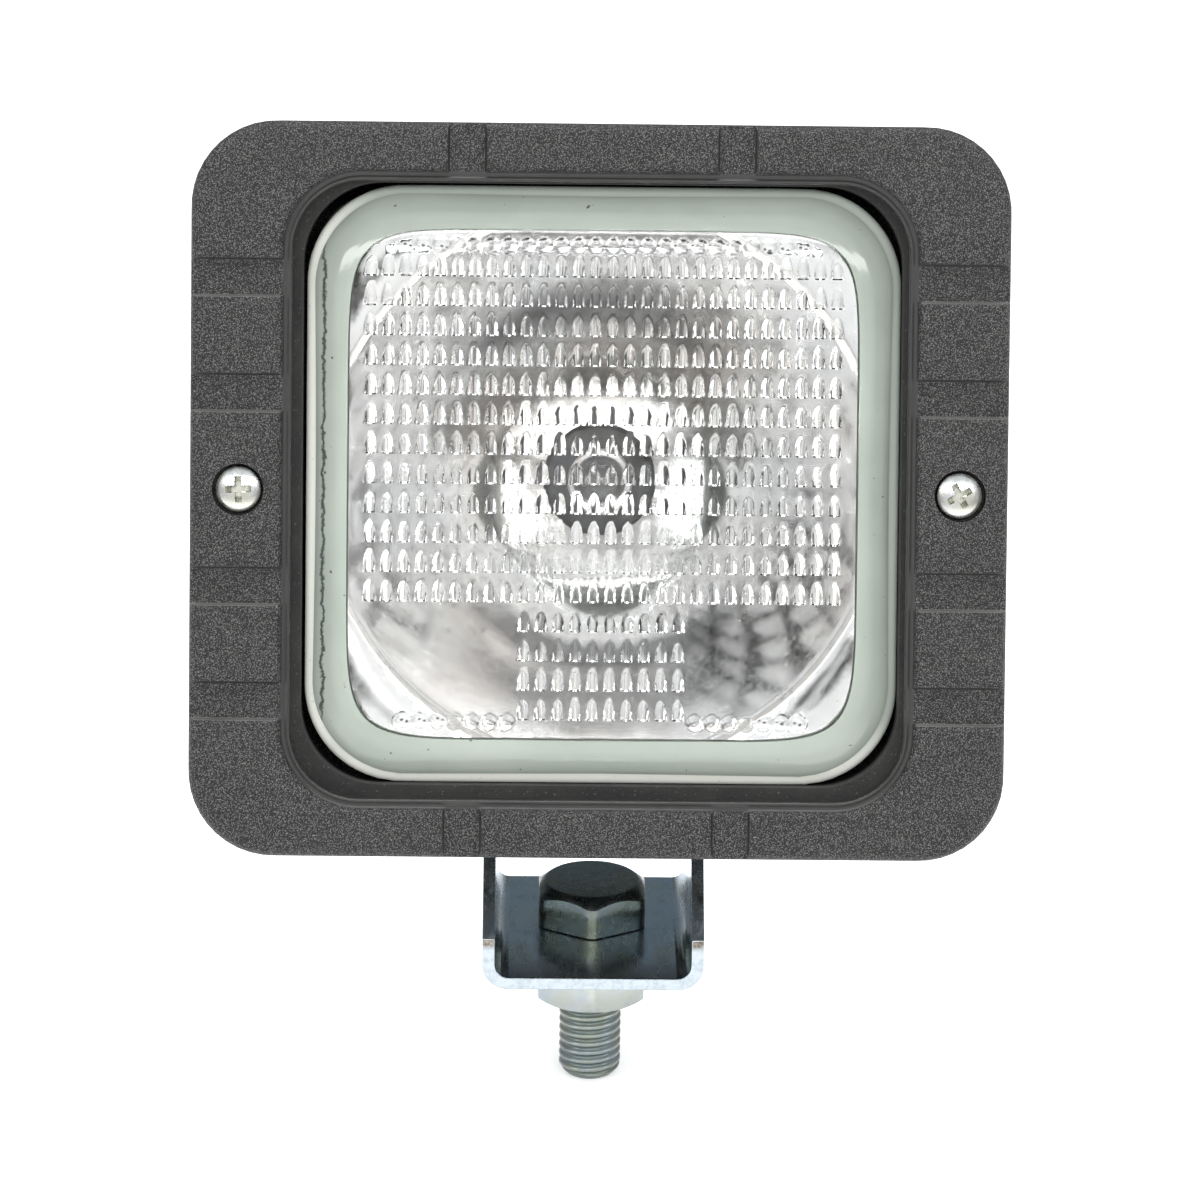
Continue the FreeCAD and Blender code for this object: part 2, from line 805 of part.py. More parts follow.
def make_bezel():
    body = new_body("bezel")
    face = new_sketch(body, "bezel_face_outline")
    draw_rounded(face, *bezel_outline)
    pad(body, face, size("bezel_depth"))
    round_edges(body, size("bezel_edge_round"), lambda edge: edge_lies(edge, 2, 0.0))
    cavity = new_sketch(body, "bezel_cavity", depth=size("bezel_face"))
    draw_rounded(cavity, *grown(bezel_outline, -size("bezel_skirt")))
    pocket(body, cavity, size("bezel_depth"))
    seat = grown(opening_outline, size("gasket_wall"))
    frame_on(
        body,
        "bezel_collar",
        grown(seat, size("collar_wall")),
        opening_outline,
        size("collar_depth") - size("bezel_face") + WELD,
        depth=size("bezel_face") - WELD,
    )
    opening = new_sketch(body, "bezel_opening")
    draw_rounded(opening, *opening_outline)
    pocket(body, opening, size("bezel_depth"))
    gasket_room = new_sketch(body, "bezel_gasket_room", depth=size("gasket_seat"))
    draw_rounded(gasket_room, *seat)
    pocket(body, gasket_room, size("bezel_depth"))
    lip = new_sketch(body, "bezel_lip")
    draw_rounded(lip, *grown(opening_outline, size("lip_width")))
    pocket(body, lip, size("band_depth"))
    cut_bands(body)
    for radius, depth, name in (
        ("screw_recess_radius", size("screw_recess_depth"), "bezel_screw_recess"),
        ("screw_hole_radius", size("bezel_depth"), "bezel_screw_hole"),
    ):
        sketch = new_sketch(body, name)
        draw_circle(sketch, size(radius), -size("screw_offset"))
        draw_circle(sketch, size(radius), size("screw_offset"))
        pocket(body, sketch, depth)
    body.Placement = head_place
    return body


def cut_bands(body):
    """The shallow bands across the bezel's face, from its outer edge in to the lip."""
    bands = new_sketch(body, "bezel_bands")
    reach_x = (size("bezel_width") - size("opening_width")) / 2
    reach_y = (size("bezel_height") - size("opening_height")) / 2
    middle_x = (size("bezel_width") + size("opening_width")) / 4 + size("bezel_edge_round") / 2
    middle_y = (size("bezel_height") + size("opening_height")) / 4 + size("bezel_edge_round") / 2
    for side in (-1.0, 1.0):
        for level in (size("side_band_near"), size("side_band_far")):
            for half in (-1.0, 1.0):
                draw_rectangle(
                    bands,
                    reach_x + size("bezel_edge_round"),
                    size("band_width"),
                    middle_x * side,
                    level * half,
                )
        for half in (-1.0, 1.0):
            draw_rectangle(
                bands,
                size("band_width"),
                reach_y + size("bezel_edge_round"),
                size("end_band") * half,
                middle_y * side,
            )
    pocket(body, bands, size("band_depth"))


def housing_sections(body, prefix, margin, end_depth):
    """Sketches of the housing's section from its rim back to its cap, moved in by margin."""
    sections = (
        ("rim", rim_outline, size("housing_rim_back")),
        ("bowl", (size("bowl_width"), size("bowl_height"), size("bowl_corner")), size("bowl_depth")),
        ("waist", (size("waist_width"), size("waist_height"), size("waist_corner")), size("waist_depth")),
        ("cap", (size("cap_width"), size("cap_height"), size("cap_corner")), end_depth),
    )
    sketches = []
    for name, outline, depth in sections:
        sketch = new_sketch(body, prefix + name, depth=depth)
        draw_rounded(sketch, *grown(outline, -margin))
        sketches.append(sketch)
    return sketches


def make_rear_housing():
    body = new_body("rear_housing")
    wall = size("housing_wall")
    rim = new_sketch(body, "housing_rim", depth=size("housing_rim_front"))
    draw_rounded(rim, *rim_outline)
    pad(body, rim, size("housing_rim_back") - size("housing_rim_front"))
    loft(body, housing_sections(body, "housing_", ZERO, size("cap_depth")))
    lug_y = -size("pivot_drop")
    lug_z = -size("pivot_depth")
    lug_width = size("bracket_width") - size("strip_thickness") * 2 - size("lug_clearance") * 2
    eye = new_sketch(body, "lug_eye", role="YZ_Plane")
    draw_circle(eye, size("lug_radius"), lug_y, lug_z)
    pad(body, eye, lug_width, both=True)
    root = new_sketch(body, "lug_root", role="YZ_Plane")
    draw_rectangle(
        root,
        size("lug_root_height"),
        size("lug_radius") * 2,
        lug_y + size("lug_root_height") / 2,
        lug_z,
    )
    pad(body, root, lug_width, both=True)
    hollow = new_sketch(body, "housing_rim_hollow", depth=size("housing_rim_front"))
    draw_rounded(hollow, *grown(rim_outline, -wall))
    pocket(body, hollow, size("housing_rim_back") - size("housing_rim_front"))
    loft(body, housing_sections(body, "inner_", wall, size("cap_depth") - wall), cut=True)
    bore = new_sketch(body, "lug_bore", role="YZ_Plane")
    draw_circle(bore, size("sleeve_radius"), lug_y, lug_z)
    pocket(body, bore, lug_width + 1.0, both=True)
    bosses = new_sketch(body, "housing_bosses", depth=size("housing_rim_front"))
    draw_circle(bosses, size("housing_boss_radius"), -size("screw_offset"))
    draw_circle(bosses, size("housing_boss_radius"), size("screw_offset"))
    pad(body, bosses, size("housing_boss_depth") - size("housing_rim_front"))
    pilots = new_sketch(body, "housing_pilots", depth=size("housing_rim_front"))
    draw_circle(pilots, size("screw_shank_radius"), -size("screw_offset"))
    draw_circle(pilots, size("screw_shank_radius"), size("screw_offset"))
    pocket(body, pilots, size("screw_length"))
    ribs = new_sketch(body, "housing_ribs", depth=size("gasket_back"))
    rib_y = rim_outline[1] / 2 - wall - size("rib_reach") / 2
    for side in (-1.0, 1.0):
        for half in (-1.0, 1.0):
            rib_x = size("rib_spacing") * side
            draw_rectangle(ribs, size("rib_width"), size("rib_reach"), rib_x, rib_y * half)
    pad(body, ribs, size("rib_depth"))
    window = new_sketch(body, "socket_window", depth=size("cap_depth") - wall * 2, shift=socket_shift)
    draw_rounded(window, *grown(spigot_outline, size("joint_gap")))
    pocket(body, window, wall * 3)
    body.Placement = head_place
    return body


def make_housing_gasket():
    body = new_body("housing_gasket")
    frame_on(
        body,
        "housing_gasket_frame",
        rim_outline,
        grown(rim_outline, -size("housing_wall")),
        size("housing_rim_front") - size("bezel_face"),
        depth=size("bezel_face"),
    )
    body.Placement = head_place
    return body


def make_lens_glass():
    body = new_body("lens_glass")
    edge_depth = size("glass_recess") + size("glass_slope")
    edge = new_sketch(body, "glass_edge", depth=edge_depth, shift=glass_shift)
    draw_rounded(edge, *glass_outline)
    pad(body, edge, size("glass_thickness") - size("glass_slope"))
    foot = new_sketch(body, "glass_slope_foot", depth=edge_depth, shift=glass_shift)
    draw_rounded(foot, *glass_outline)
    field = new_sketch(body, "glass_field_outline", depth=size("glass_recess"), shift=glass_shift)
    draw_rounded(field, size("glass_field"), size("glass_field"), size("glass_field_corner"))
    loft(body, [foot, field])
    body.Placement = head_place
    return body


def make_lens_gasket():
    """The rubber frame between the bezel's collar and the glass and reflector."""
    body = new_body("lens_gasket")
    fit = size("gasket_fit")
    outer = new_sketch(body, "gasket_outer", depth=size("gasket_seat"))
    draw_rounded(outer, *grown(opening_outline, size("gasket_wall") - fit))
    pad(body, outer, size("gasket_back") - size("gasket_seat"))
    inner = new_sketch(body, "gasket_inner", depth=size("gasket_seat"), shift=glass_shift)
    draw_rounded(inner, *grown(glass_outline, fit))
    pocket(body, inner, size("gasket_back"))
    body.Placement = head_place
    return body


# --- lamp head: optics -----------------------------------------------------------------------------

# the reflector, its bulb and the bulb's holder share the glass's axis
axis_shift = Vector(number(size("glass_side")), number(size("glass_rise")), 0)
axis_place = head_place * FreeCAD.Placement(axis_shift, FreeCAD.Rotation())

glass_back = size("glass_recess") + size("glass_thickness")
mouth_depth = glass_back + size("sealant_height")
vertex_depth = mouth_depth + size("reflector_depth")
focal_length = number(size("mouth_radius")) ** 2 / (4 * number(size("reflector_depth")))
filament_depth = vertex_depth - focal_length
bulb_seat = filament_depth + size("filament_reach")
holder_front = bulb_seat - size("holder_plate")
barrel_seat = bulb_seat + size("bulb_flange_height")
barrel_end = barrel_seat + size("bulb_barrel_height")
collar_front = bulb_seat - size("bulb_collar_height")


def make_lens_sealant():
    body = new_body("lens_sealant")
    outer = grown(glass_outline, -size("sealant_inset"))
    frame_on(
        body,
        "sealant_bead",
        outer,
        grown(outer, -size("sealant_width")),
        size("sealant_height"),
        depth=glass_back,
        shift=glass_shift,
    )
    body.Placement = head_place
    return body


def make_reflector():
    """A paraboloid bowl with a flat square flange at its mouth and a round neck for the bulb."""
    wall = number(size("reflector_wall"))
    mouth = number(size("mouth_radius"))
    hole = number(size("bulb_hole_radius"))
    vertex = -number(vertex_depth)
    front = -number(mouth_depth)

    def bowl_curve(back_by):
        steps = 12
        radii = [hole + (mouth + back_by - hole) * step / steps for step in range(steps + 1)]
        points = [Vector(r, 0, vertex - back_by + r * r / (4 * focal_length)) for r in radii]
        curve = Part.BSplineCurve()
        curve.interpolate(points)
        return curve.toShape(), points

    inner, inner_points = bowl_curve(0.0)
    outer, outer_points = bowl_curve(wall)
    small = Part.LineSegment(outer_points[0], inner_points[0]).toShape()
    large = Part.LineSegment(inner_points[-1], outer_points[-1]).toShape()
    section = Part.Face(Part.Wire([small, inner, large, outer]))
    bowl = section.revolve(ORIGIN, Z_AXIS, 360.0)
    neck_end = -number(holder_front)
    neck_start = vertex + hole * hole / (4 * focal_length)
    neck = Part.makeCylinder(hole + wall, neck_start - neck_end, Vector(0, 0, neck_end))
    neck = neck.cut(Part.makeCylinder(hole, neck_start - neck_end, Vector(0, 0, neck_end)))
    width, height, corner = (number(item) for item in grown(glass_outline, -size("sealant_inset") / 2))
    flange = Part.makeBox(width, height, wall, Vector(-width / 2, -height / 2, front - wall))
    upright = [edge for edge in flange.Edges if edge.Length < wall + WELD]
    flange = flange.makeFillet(corner, upright)
    flange = flange.cut(Part.makeCylinder(mouth, 4 * wall, Vector(0, 0, front - 2 * wall)))
    shape = flange.fuse([bowl, neck]).removeSplitter()
    shape = shape.common(Part.makeBox(width, height, 1000, Vector(-width / 2, -height / 2, front - 1000)))
    return new_feature("reflector", shape, axis_place)


def make_bulb_holder():
    """A pressed plate on the reflector's neck, with three hooks that hold the clip's wire."""
    body = new_body("bulb_holder")
    plate = new_sketch(body, "holder_plate_outline", depth=holder_front)
    draw_rounded(plate, size("holder_width"), size("holder_height"), size("holder_corner"))
    draw_circle(plate, size("bulb_collar_radius"))
    pad(body, plate, size("holder_plate"))
    across = size("clip_half_width") + size("clip_tail") - size("hook_width") / 2
    for name, x, side in (("low", ZERO, -1.0), ("left", -across, 1.0), ("right", across, 1.0)):
        sketch = new_sketch(body, "holder_hook_" + name, role="YZ_Plane", depth=-x)
        wire = size("clip_wire_radius")
        near = size("clip_half_height") - wire
        inside = size("clip_half_height") + wire
        outside = inside + wire
        floor = -bulb_seat + WELD
        under = -barrel_seat - wire * 2
        top = under - wire
        corners = [
            (inside * side, floor),
            (inside * side, under),
            (near * side, under),
            (near * side, top),
            (outside * side, top),
            (outside * side, floor),
        ]
        draw_polygon(sketch, corners)
        pad(body, sketch, size("hook_width"), both=True)
    body.Placement = axis_place
    return body


def make_bulb_base():
    body = new_body("bulb_base")
    profile = [
        (0, -collar_front),
        (size("bulb_collar_radius") - size("joint_gap"), -collar_front),
        (size("bulb_collar_radius") - size("joint_gap"), -bulb_seat),
        (size("bulb_flange_radius"), -bulb_seat),
        (size("bulb_flange_radius"), -barrel_seat),
        (size("bulb_barrel_radius"), -barrel_seat),
        (size("bulb_barrel_radius"), -barrel_end),
        (0, -barrel_end),
    ]
    turned(body, "bulb_base_profile", profile)
    body.Placement = axis_place
    return body


def add_primitive(kind, name, bound, place=None):
    """A Part primitive whose named properties are driven by the sheet."""
    item = doc.addObject(kind, name)
    for prop, length in bound.items():
        bind(item, prop, length)
    if place is not None:
        item.Placement = place
    return item


def round_rod(name, radius, start, end):
    """A rod along the optical axis from start to a half-round end."""
    rod = add_primitive("Part::Cylinder", name + "_rod", {"Radius": radius, "Height": end - start})
    ball = add_primitive("Part::Sphere", name + "_ball", {"Radius": radius})
    rod.setExpression(".Placement.Base.z", start.text)
    ball.setExpression(".Placement.Base.z", end.text)
    joined = doc.addObject("Part::Fuse", name)
    joined.Base = rod
    joined.Tool = ball
    return joined


def make_bulb_capsule():
    radius = size("capsule_radius")
    wall = size("capsule_wall")
    start = -collar_front
    end = start + size("capsule_length") - radius
    capsule = doc.addObject("Part::Cut", "bulb_capsule")
    capsule.Label = "bulb_capsule"
    capsule.Base = round_rod("capsule_outer", radius, start, end)
    capsule.Tool = round_rod("capsule_inner", radius - wall, start, end)
    capsule.Placement = axis_place
    return capsule


def make_bulb_filament():
    """The coiled filament lies across the axis on two support wires."""
    half = number(size("filament_length") / 2)
    offset = number(size("filament_support_offset"))
    coil = add_primitive(
        "Part::Cylinder",
        "filament_coil",
        {"Radius": size("filament_radius"), "Height": size("filament_length")},
        FreeCAD.Placement(Vector(-half, 0, -number(filament_depth)), along_x),
    )
    members = [coil]
    for side, name in ((-1.0, "filament_support_left"), (1.0, "filament_support_right")):
        wire = add_primitive(
            "Part::Cylinder",
            name,
            {"Radius": size("filament_wire_radius"), "Height": collar_front - filament_depth},
            FreeCAD.Placement(Vector(offset * side, 0, -number(collar_front)), FreeCAD.Rotation()),
        )
        members.append(wire)
    filament = doc.addObject("Part::MultiFuse", "bulb_filament")
    filament.Label = "bulb_filament"
    filament.Shapes = members
    filament.Placement = axis_place
    return filament


def make_bulb_clip():
    """A sprung wire bail: two legs across the bulb's flange, with its tails turned out under the hooks."""
    x = number(size("clip_half_width"))
    y = number(size("clip_half_height"))
    tail = x + number(size("clip_tail"))
    z = -number(barrel_seat) - number(size("clip_wire_radius"))
    points = [
        Vector(-tail, y, z),
        Vector(-x, y, z),
        Vector(-x, -y, z),
        Vector(x, -y, z),
        Vector(x, y, z),
        Vector(tail, y, z),
    ]
    wire = wire_solid(points, number(size("clip_wire_radius")), number(size("clip_bend")))
    return new_feature("bulb_clip", wire, axis_place)


# --- lamp head: wiring ------------------------------------------------------------------------------

socket_outline = (size("socket_width"), size("socket_height"), size("socket_corner"))
spigot_outline = grown(socket_outline, -size("socket_spigot_margin"))
flange_outline = grown(socket_outline, size("socket_flange_margin"))
socket_shift = (ZERO, -size("terminal_y"))
socket_seat = size("cap_depth") + size("socket_seal_height")
spigot_end = socket_seat - size("socket_spigot_height")
tail_end = spigot_end - size("blade_tail")
socket_floor = socket_seat + size("socket_flange_height")


def make_socket_seal():
    body = new_body("socket_seal")
    frame_on(
        body,
        "socket_seal_frame",
        flange_outline,
        grown(spigot_outline, size("joint_gap")),
        size("socket_seal_height"),
        depth=size("cap_depth"),
        shift=socket_shift,
    )
    body.Placement = head_place
    return body


def make_socket():
    """The plug's socket: a spigot through the housing, a flange and a square shroud round two blades."""
    body = new_body("connector_socket")
    flange = new_sketch(body, "socket_flange", depth=socket_seat, shift=socket_shift)
    draw_rounded(flange, *flange_outline)
    pad(body, flange, size("socket_flange_height"))
    spigot = new_sketch(body, "socket_spigot", depth=spigot_end, shift=socket_shift)
    draw_rounded(spigot, *spigot_outline)
    pad(body, spigot, size("socket_spigot_height"))
    shroud = new_sketch(body, "socket_shroud", depth=socket_floor, shift=socket_shift)
    draw_rounded(shroud, *socket_outline)
    pad(body, shroud, size("socket_depth"))
    mouth = new_sketch(body, "socket_mouth", depth=socket_floor, shift=socket_shift)
    draw_rounded(mouth, *grown(socket_outline, -size("socket_wall")))
    pocket(body, mouth, size("socket_depth"))
    slots = new_sketch(body, "socket_slots", depth=spigot_end, shift=socket_shift)
    for side in (-1.0, 1.0):
        draw_rectangle(slots, size("blade_thickness"), size("blade_width"), size("terminal_x") * side)
    pocket(body, slots, size("socket_spigot_height") + size("socket_flange_height"))
    body.Placement = head_place
    return body


def make_blade(name, side):
    body = new_body(name)
    sketch = new_sketch(body, name + "_section", depth=tail_end, shift=socket_shift)
    draw_rectangle(sketch, size("blade_thickness"), size("blade_width"), size("terminal_x") * side)
    pad(body, sketch, socket_floor + size("blade_reach") - tail_end)
    body.Placement = head_place
    return body


def make_leads():
    """The live lead leaves the bulb's base, the earth lead the holder; each ends on its blade."""
    blade_x = number(size("terminal_x"))
    blade_y = -number(size("terminal_y"))
    end = -number(tail_end)
    turn = end + number(size("lead_turn_height"))
    tab_x = number(size("earth_tab_x"))
    tab_y = -number(size("earth_tab_y"))
    routes = {
        "bulb_lead": [
            Vector(axis_shift.x, axis_shift.y, -number(barrel_end)),
            Vector(axis_shift.x, axis_shift.y, turn),
            Vector(-blade_x, blade_y, turn),
            Vector(-blade_x, blade_y, end),
        ],
        "earth_lead": [
            Vector(tab_x, tab_y, -number(bulb_seat)),
            Vector(tab_x, tab_y, turn),
            Vector(blade_x, blade_y, turn),
            Vector(blade_x, blade_y, end),
        ],
    }
    radius = number(size("lead_radius"))
    bend = number(size("lead_bend"))
    return [
        new_feature(name, wire_solid(points, radius, bend), head_place)
        for name, points in routes.items()
    ]


# --- lamp head: sleeve and screws ---------------------------------------------------------------------

def make_pivot_sleeve():
    body = new_body("pivot_sleeve")
    length = size("bracket_width") - size("strip_thickness") * 2 - size("lug_clearance") * 2
    sketch = new_sketch(body, "sleeve_ring")
    draw_circle(sketch, size("sleeve_radius"))
    draw_circle(sketch, size("sleeve_bore_radius"))
    pad(body, sketch, length, both=True)
    body.Placement = pivot_place
    return body


def make_bezel_screw(name, side, turn):
    """A pan-head tapping screw with a cross recess, seated in the bezel's recess."""
    body = new_body(name)
    head = new_sketch(body, name + "_head")
    draw_circle(head, size("screw_head_radius"))
    pad(body, head, size("screw_head_height"), back=False)
    top = number(size("screw_head_height"))
    round_edges(body, size("screw_head_round"), lambda edge: edge_lies(edge, 2, top))
    radius = size("screw_shank_radius")
    end = -size("screw_length")
    profile = [
        (0, WELD),
        (radius, WELD),
        (radius, end + size("screw_tip_height")),
        (size("screw_tip_radius"), end),
        (0, end),
    ]
    turned(body, name + "_shank", profile)
    cross = new_sketch(body, name + "_cross", depth=-size("screw_head_height"))
    long = size("cross_length") / 2
    short = size("cross_width") / 2
    quarter = [(long, -short), (long, short), (short, short)]
    corners = []
    for step in range(4):
        corners.extend(quarter)
        quarter = [(-y, x) for x, y in quarter]
    draw_polygon(cross, corners)
    pocket(body, cross, size("cross_depth"))
    seat = Vector(number(size("screw_offset")) * side, 0, -number(size("screw_recess_depth")))
    body.Placement = head_place * FreeCAD.Placement(seat, FreeCAD.Rotation(Z_AXIS, turn))
    return body


def make_all():
    arm = size("bracket_width") / 2
    pieces = [
        make_mounting_bolt(),
        make_mounting_nut(),
        make_spring_washer(),
        make_flat_washer(),
        make_bracket(),
        make_pivot_bolt(),
        make_pivot_nut(),
        make_pivot_washer("pivot_washer_right", arm),
        make_pivot_washer("pivot_washer_left", -arm - size("pivot_washer_height")),
        make_bezel(),
        make_rear_housing(),
        make_housing_gasket(),
        make_lens_glass(),
        make_lens_gasket(),
        make_lens_sealant(),
        make_reflector(),
        make_bulb_holder(),
        make_bulb_base(),
        make_bulb_capsule(),
        make_bulb_filament(),
        make_bulb_clip(),
        make_socket_seal(),
        make_socket(),
        make_blade("terminal_blade_live", -1.0),
        make_blade("terminal_blade_earth", 1.0),
        make_pivot_sleeve(),
        make_bezel_screw("bezel_screw_left", -1.0, SIZES["cross_turn_left"]),
        make_bezel_screw("bezel_screw_right", 1.0, SIZES["cross_turn_right"]),
    ]
    pieces.extend(make_leads())
    return pieces


def check_document(pieces):
    """Stop if a feature failed, a cut removed nothing, or a sub-part isn't valid solids."""
    for item in doc.Objects:
        if "Invalid" in item.State or "Error" in item.State:
            raise RuntimeError(item.Name + " failed: " + str(item.State))
        if item.TypeId in ("PartDesign::Pocket", "PartDesign::Groove", "PartDesign::SubtractiveLoft"):
            if item.BaseFeature.Shape.Volume - item.Shape.Volume < WELD:
                raise RuntimeError(item.Name + " cut nothing")
    for piece in pieces:
        shape = piece.Shape
        if shape.isNull() or not shape.isValid() or not shape.Solids:
            raise RuntimeError(piece.Label + " has no valid solid")
        print(f"{piece.Label:22} {len(shape.Solids)} solid {shape.Volume:10.1f} mm3")


def write_parts(pieces):
    os.makedirs("parts", exist_ok=True)
    for piece in pieces:
        piece.Shape.exportStep("parts/" + piece.Label + ".step")


sub_parts = make_all()
doc.recompute()
check_document(sub_parts)
write_parts(sub_parts)
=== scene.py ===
import json
import math

import bmesh
import bpy
import numpy as np
from mathutils import Matrix, Vector


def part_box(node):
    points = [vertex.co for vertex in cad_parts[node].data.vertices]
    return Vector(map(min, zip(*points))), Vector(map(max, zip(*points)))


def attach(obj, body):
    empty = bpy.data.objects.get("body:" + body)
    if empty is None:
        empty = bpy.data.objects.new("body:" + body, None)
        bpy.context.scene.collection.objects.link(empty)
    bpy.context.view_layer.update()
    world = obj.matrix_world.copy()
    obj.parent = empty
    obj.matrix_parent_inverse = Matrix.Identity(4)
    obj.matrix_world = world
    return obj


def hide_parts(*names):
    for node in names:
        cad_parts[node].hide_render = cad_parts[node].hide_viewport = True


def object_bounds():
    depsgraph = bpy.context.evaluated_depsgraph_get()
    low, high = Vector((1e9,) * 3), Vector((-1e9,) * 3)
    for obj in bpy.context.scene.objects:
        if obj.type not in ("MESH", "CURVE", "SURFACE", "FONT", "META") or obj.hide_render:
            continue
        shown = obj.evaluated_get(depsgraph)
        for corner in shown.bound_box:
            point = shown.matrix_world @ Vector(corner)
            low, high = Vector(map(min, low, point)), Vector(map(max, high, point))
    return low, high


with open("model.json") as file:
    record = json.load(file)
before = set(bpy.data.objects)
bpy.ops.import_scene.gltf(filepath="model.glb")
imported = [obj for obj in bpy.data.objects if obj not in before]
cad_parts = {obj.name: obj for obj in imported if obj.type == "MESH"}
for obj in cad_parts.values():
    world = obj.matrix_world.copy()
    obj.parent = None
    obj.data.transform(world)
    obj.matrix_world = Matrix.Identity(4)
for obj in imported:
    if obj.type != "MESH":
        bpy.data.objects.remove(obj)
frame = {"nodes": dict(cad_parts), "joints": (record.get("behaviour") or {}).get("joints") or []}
cad_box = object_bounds()

MM = 0.001

# --- where things are: lengths in millimetres, turned into metres when a mesh is made --------------

TILT = 17.5
PIVOT_DROP, PIVOT_DEPTH = 47.8, 40.2
BEZEL_W, BEZEL_H, BEZEL_R, BEZEL_DEEP = 125.0, 112.3, 13.0, 12.0
OPEN_W, OPEN_H, OPEN_R = 94.1, 94.5, 10.7
GLASS_W, GLASS_H, GLASS_R = 91.4, 92.0, 15.0
GLASS_SHIFT = (0.6, 0.8)
SCREW_X, SCREW_SEAT = 55.1, -3.2

tilt_joint = next(j for j in frame["joints"] if j["name"] == "lamp_tilt")
pivot = Vector(tilt_joint["pos_m"])
head_turn = Matrix.Rotation(math.radians(90.0 - TILT), 4, "X")
head_origin = pivot + head_turn.to_3x3() @ Vector((0.0, PIVOT_DROP * MM, PIVOT_DEPTH * MM))
HEAD = Matrix.Translation(head_origin) @ head_turn
AXIS = HEAD @ Matrix.Translation(Vector((GLASS_SHIFT[0] * MM, GLASS_SHIFT[1] * MM, 0.0)))


# --- camera ----------------------------------------------------------------------------------------

def make_camera():
    data = bpy.data.cameras.new("camera")
    data.lens = 150.5
    data.sensor_width = 36.0
    data.clip_end = 20.0
    camera = bpy.data.objects.new("camera", data)
    bpy.context.scene.collection.objects.link(camera)
    azimuth, elevation, roll = math.radians(-0.9), math.radians(20.6), math.radians(0.85)
    forward = Vector((
        -math.sin(azimuth) * math.cos(elevation),
        math.cos(azimuth) * math.cos(elevation),
        -math.sin(elevation),
    ))
    right = forward.cross(Vector((0, 0, 1))).normalized()
    up = right.cross(forward)
    right_rolled = right * math.cos(roll) + up * math.sin(roll)
    up_rolled = up * math.cos(roll) - right * math.sin(roll)
    turn = Matrix((right_rolled, up_rolled, -forward)).transposed()
    camera.matrix_world = Matrix.Translation(Vector((-0.0110, -0.7396, 0.3461))) @ turn.to_4x4()
    bpy.context.scene.camera = camera


make_camera()


# --- materials -------------------------------------------------------------------------------------

class Shade:
    """One procedural material, built a node at a time around a Principled shader."""

    def __init__(self, name, **sockets):
        self.material = bpy.data.materials.new(name)
        self.material.use_nodes = True
        self.tree = self.material.node_tree
        self.bsdf = self.tree.nodes["Principled BSDF"]
        self.place = self.tree.nodes.new("ShaderNodeTexCoord").outputs["Object"]
        self.set(**sockets)

    def feed(self, socket, value):
        """Link a socket or set its value; three numbers are an opaque colour."""
        if isinstance(value, bpy.types.NodeSocket):
            self.tree.links.new(value, socket)
        elif socket.type == "RGBA" and len(value) == 3:
            socket.default_value = (*value, 1.0)
        else:
            socket.default_value = value

    def set(self, **sockets):
        for name, value in sockets.items():
            self.feed(self.bsdf.inputs[name.replace("_", " ").title().replace("Ior", "IOR")], value)
        return self

    def node(self, kind, inputs=None, **settings):
        node = self.tree.nodes.new(kind)
        for name, value in settings.items():
            setattr(node, name, value)
        for name, value in (inputs or {}).items():
            self.feed(node.inputs[name], value)
        return node

    def axes(self, vector=None):
        """The X, Y and Z of a vector, or of the place on the object."""
        return self.node("ShaderNodeSeparateXYZ", {"Vector": vector or self.place}).outputs

    def off_axis(self):
        """Distance from the object's own z axis."""
        flat = {0: self.stretched(1.0, 1.0, 0.0)}
        return self.node("ShaderNodeVectorMath", flat, operation="LENGTH").outputs["Value"]

    def stretched(self, x, y, z):
        inputs = {"Vector": self.place, "Scale": (x, y, z)}
        return self.node("ShaderNodeMapping", inputs).outputs["Vector"]

    def noise(self, scale, detail=3.0, roughness=0.5, place=None, distortion=0.0):
        inputs = {
            "Vector": place or self.place,
            "Scale": scale,
            "Detail": detail,
            "Roughness": roughness,
            "Distortion": distortion,
        }
        return self.node("ShaderNodeTexNoise", inputs).outputs["Fac"]

    def cells(self, scale):
        return self.node("ShaderNodeTexVoronoi", {"Vector": self.place, "Scale": scale}).outputs["Distance"]

    def ramp(self, factor, *stops):
        node = self.node("ShaderNodeValToRGB", {"Fac": factor})
        band = node.color_ramp
        while len(band.elements) < len(stops):
            band.elements.new(0.5)
        for element, (where, colour) in zip(band.elements, stops):
            element.position = where
            if not isinstance(colour, tuple):
                colour = (colour, colour, colour)
            element.color = (*colour, 1.0)
        return node.outputs["Color"]

    def span(self, factor, low, high, out_low=0.0, out_high=1.0):
        inputs = {"Value": factor, "From Min": low, "From Max": high, "To Min": out_low, "To Max": out_high}
        return self.node("ShaderNodeMapRange", inputs).outputs["Result"]

    def maths(self, operation, a, b):
        node = self.node("ShaderNodeMath", operation=operation)
        for socket, value in zip(node.inputs, (a, b)):
            self.feed(socket, value)
        return node.outputs["Value"]

    def mix(self, factor, a, b):
        node = self.node("ShaderNodeMix", data_type="RGBA")
        for name, value in (("Factor", factor), ("A", a), ("B", b)):
            self.feed(next(s for s in node.inputs if s.name == name and s.enabled), value)
        return next(s for s in node.outputs if s.enabled)

    def bump(self, height, distance):
        """Raised detail, its depth in millimetres."""
        inputs = {"Height": height, "Distance": distance * MM, "Strength": 1.0}
        self.set(normal=self.node("ShaderNodeBump", inputs).outputs["Normal"])


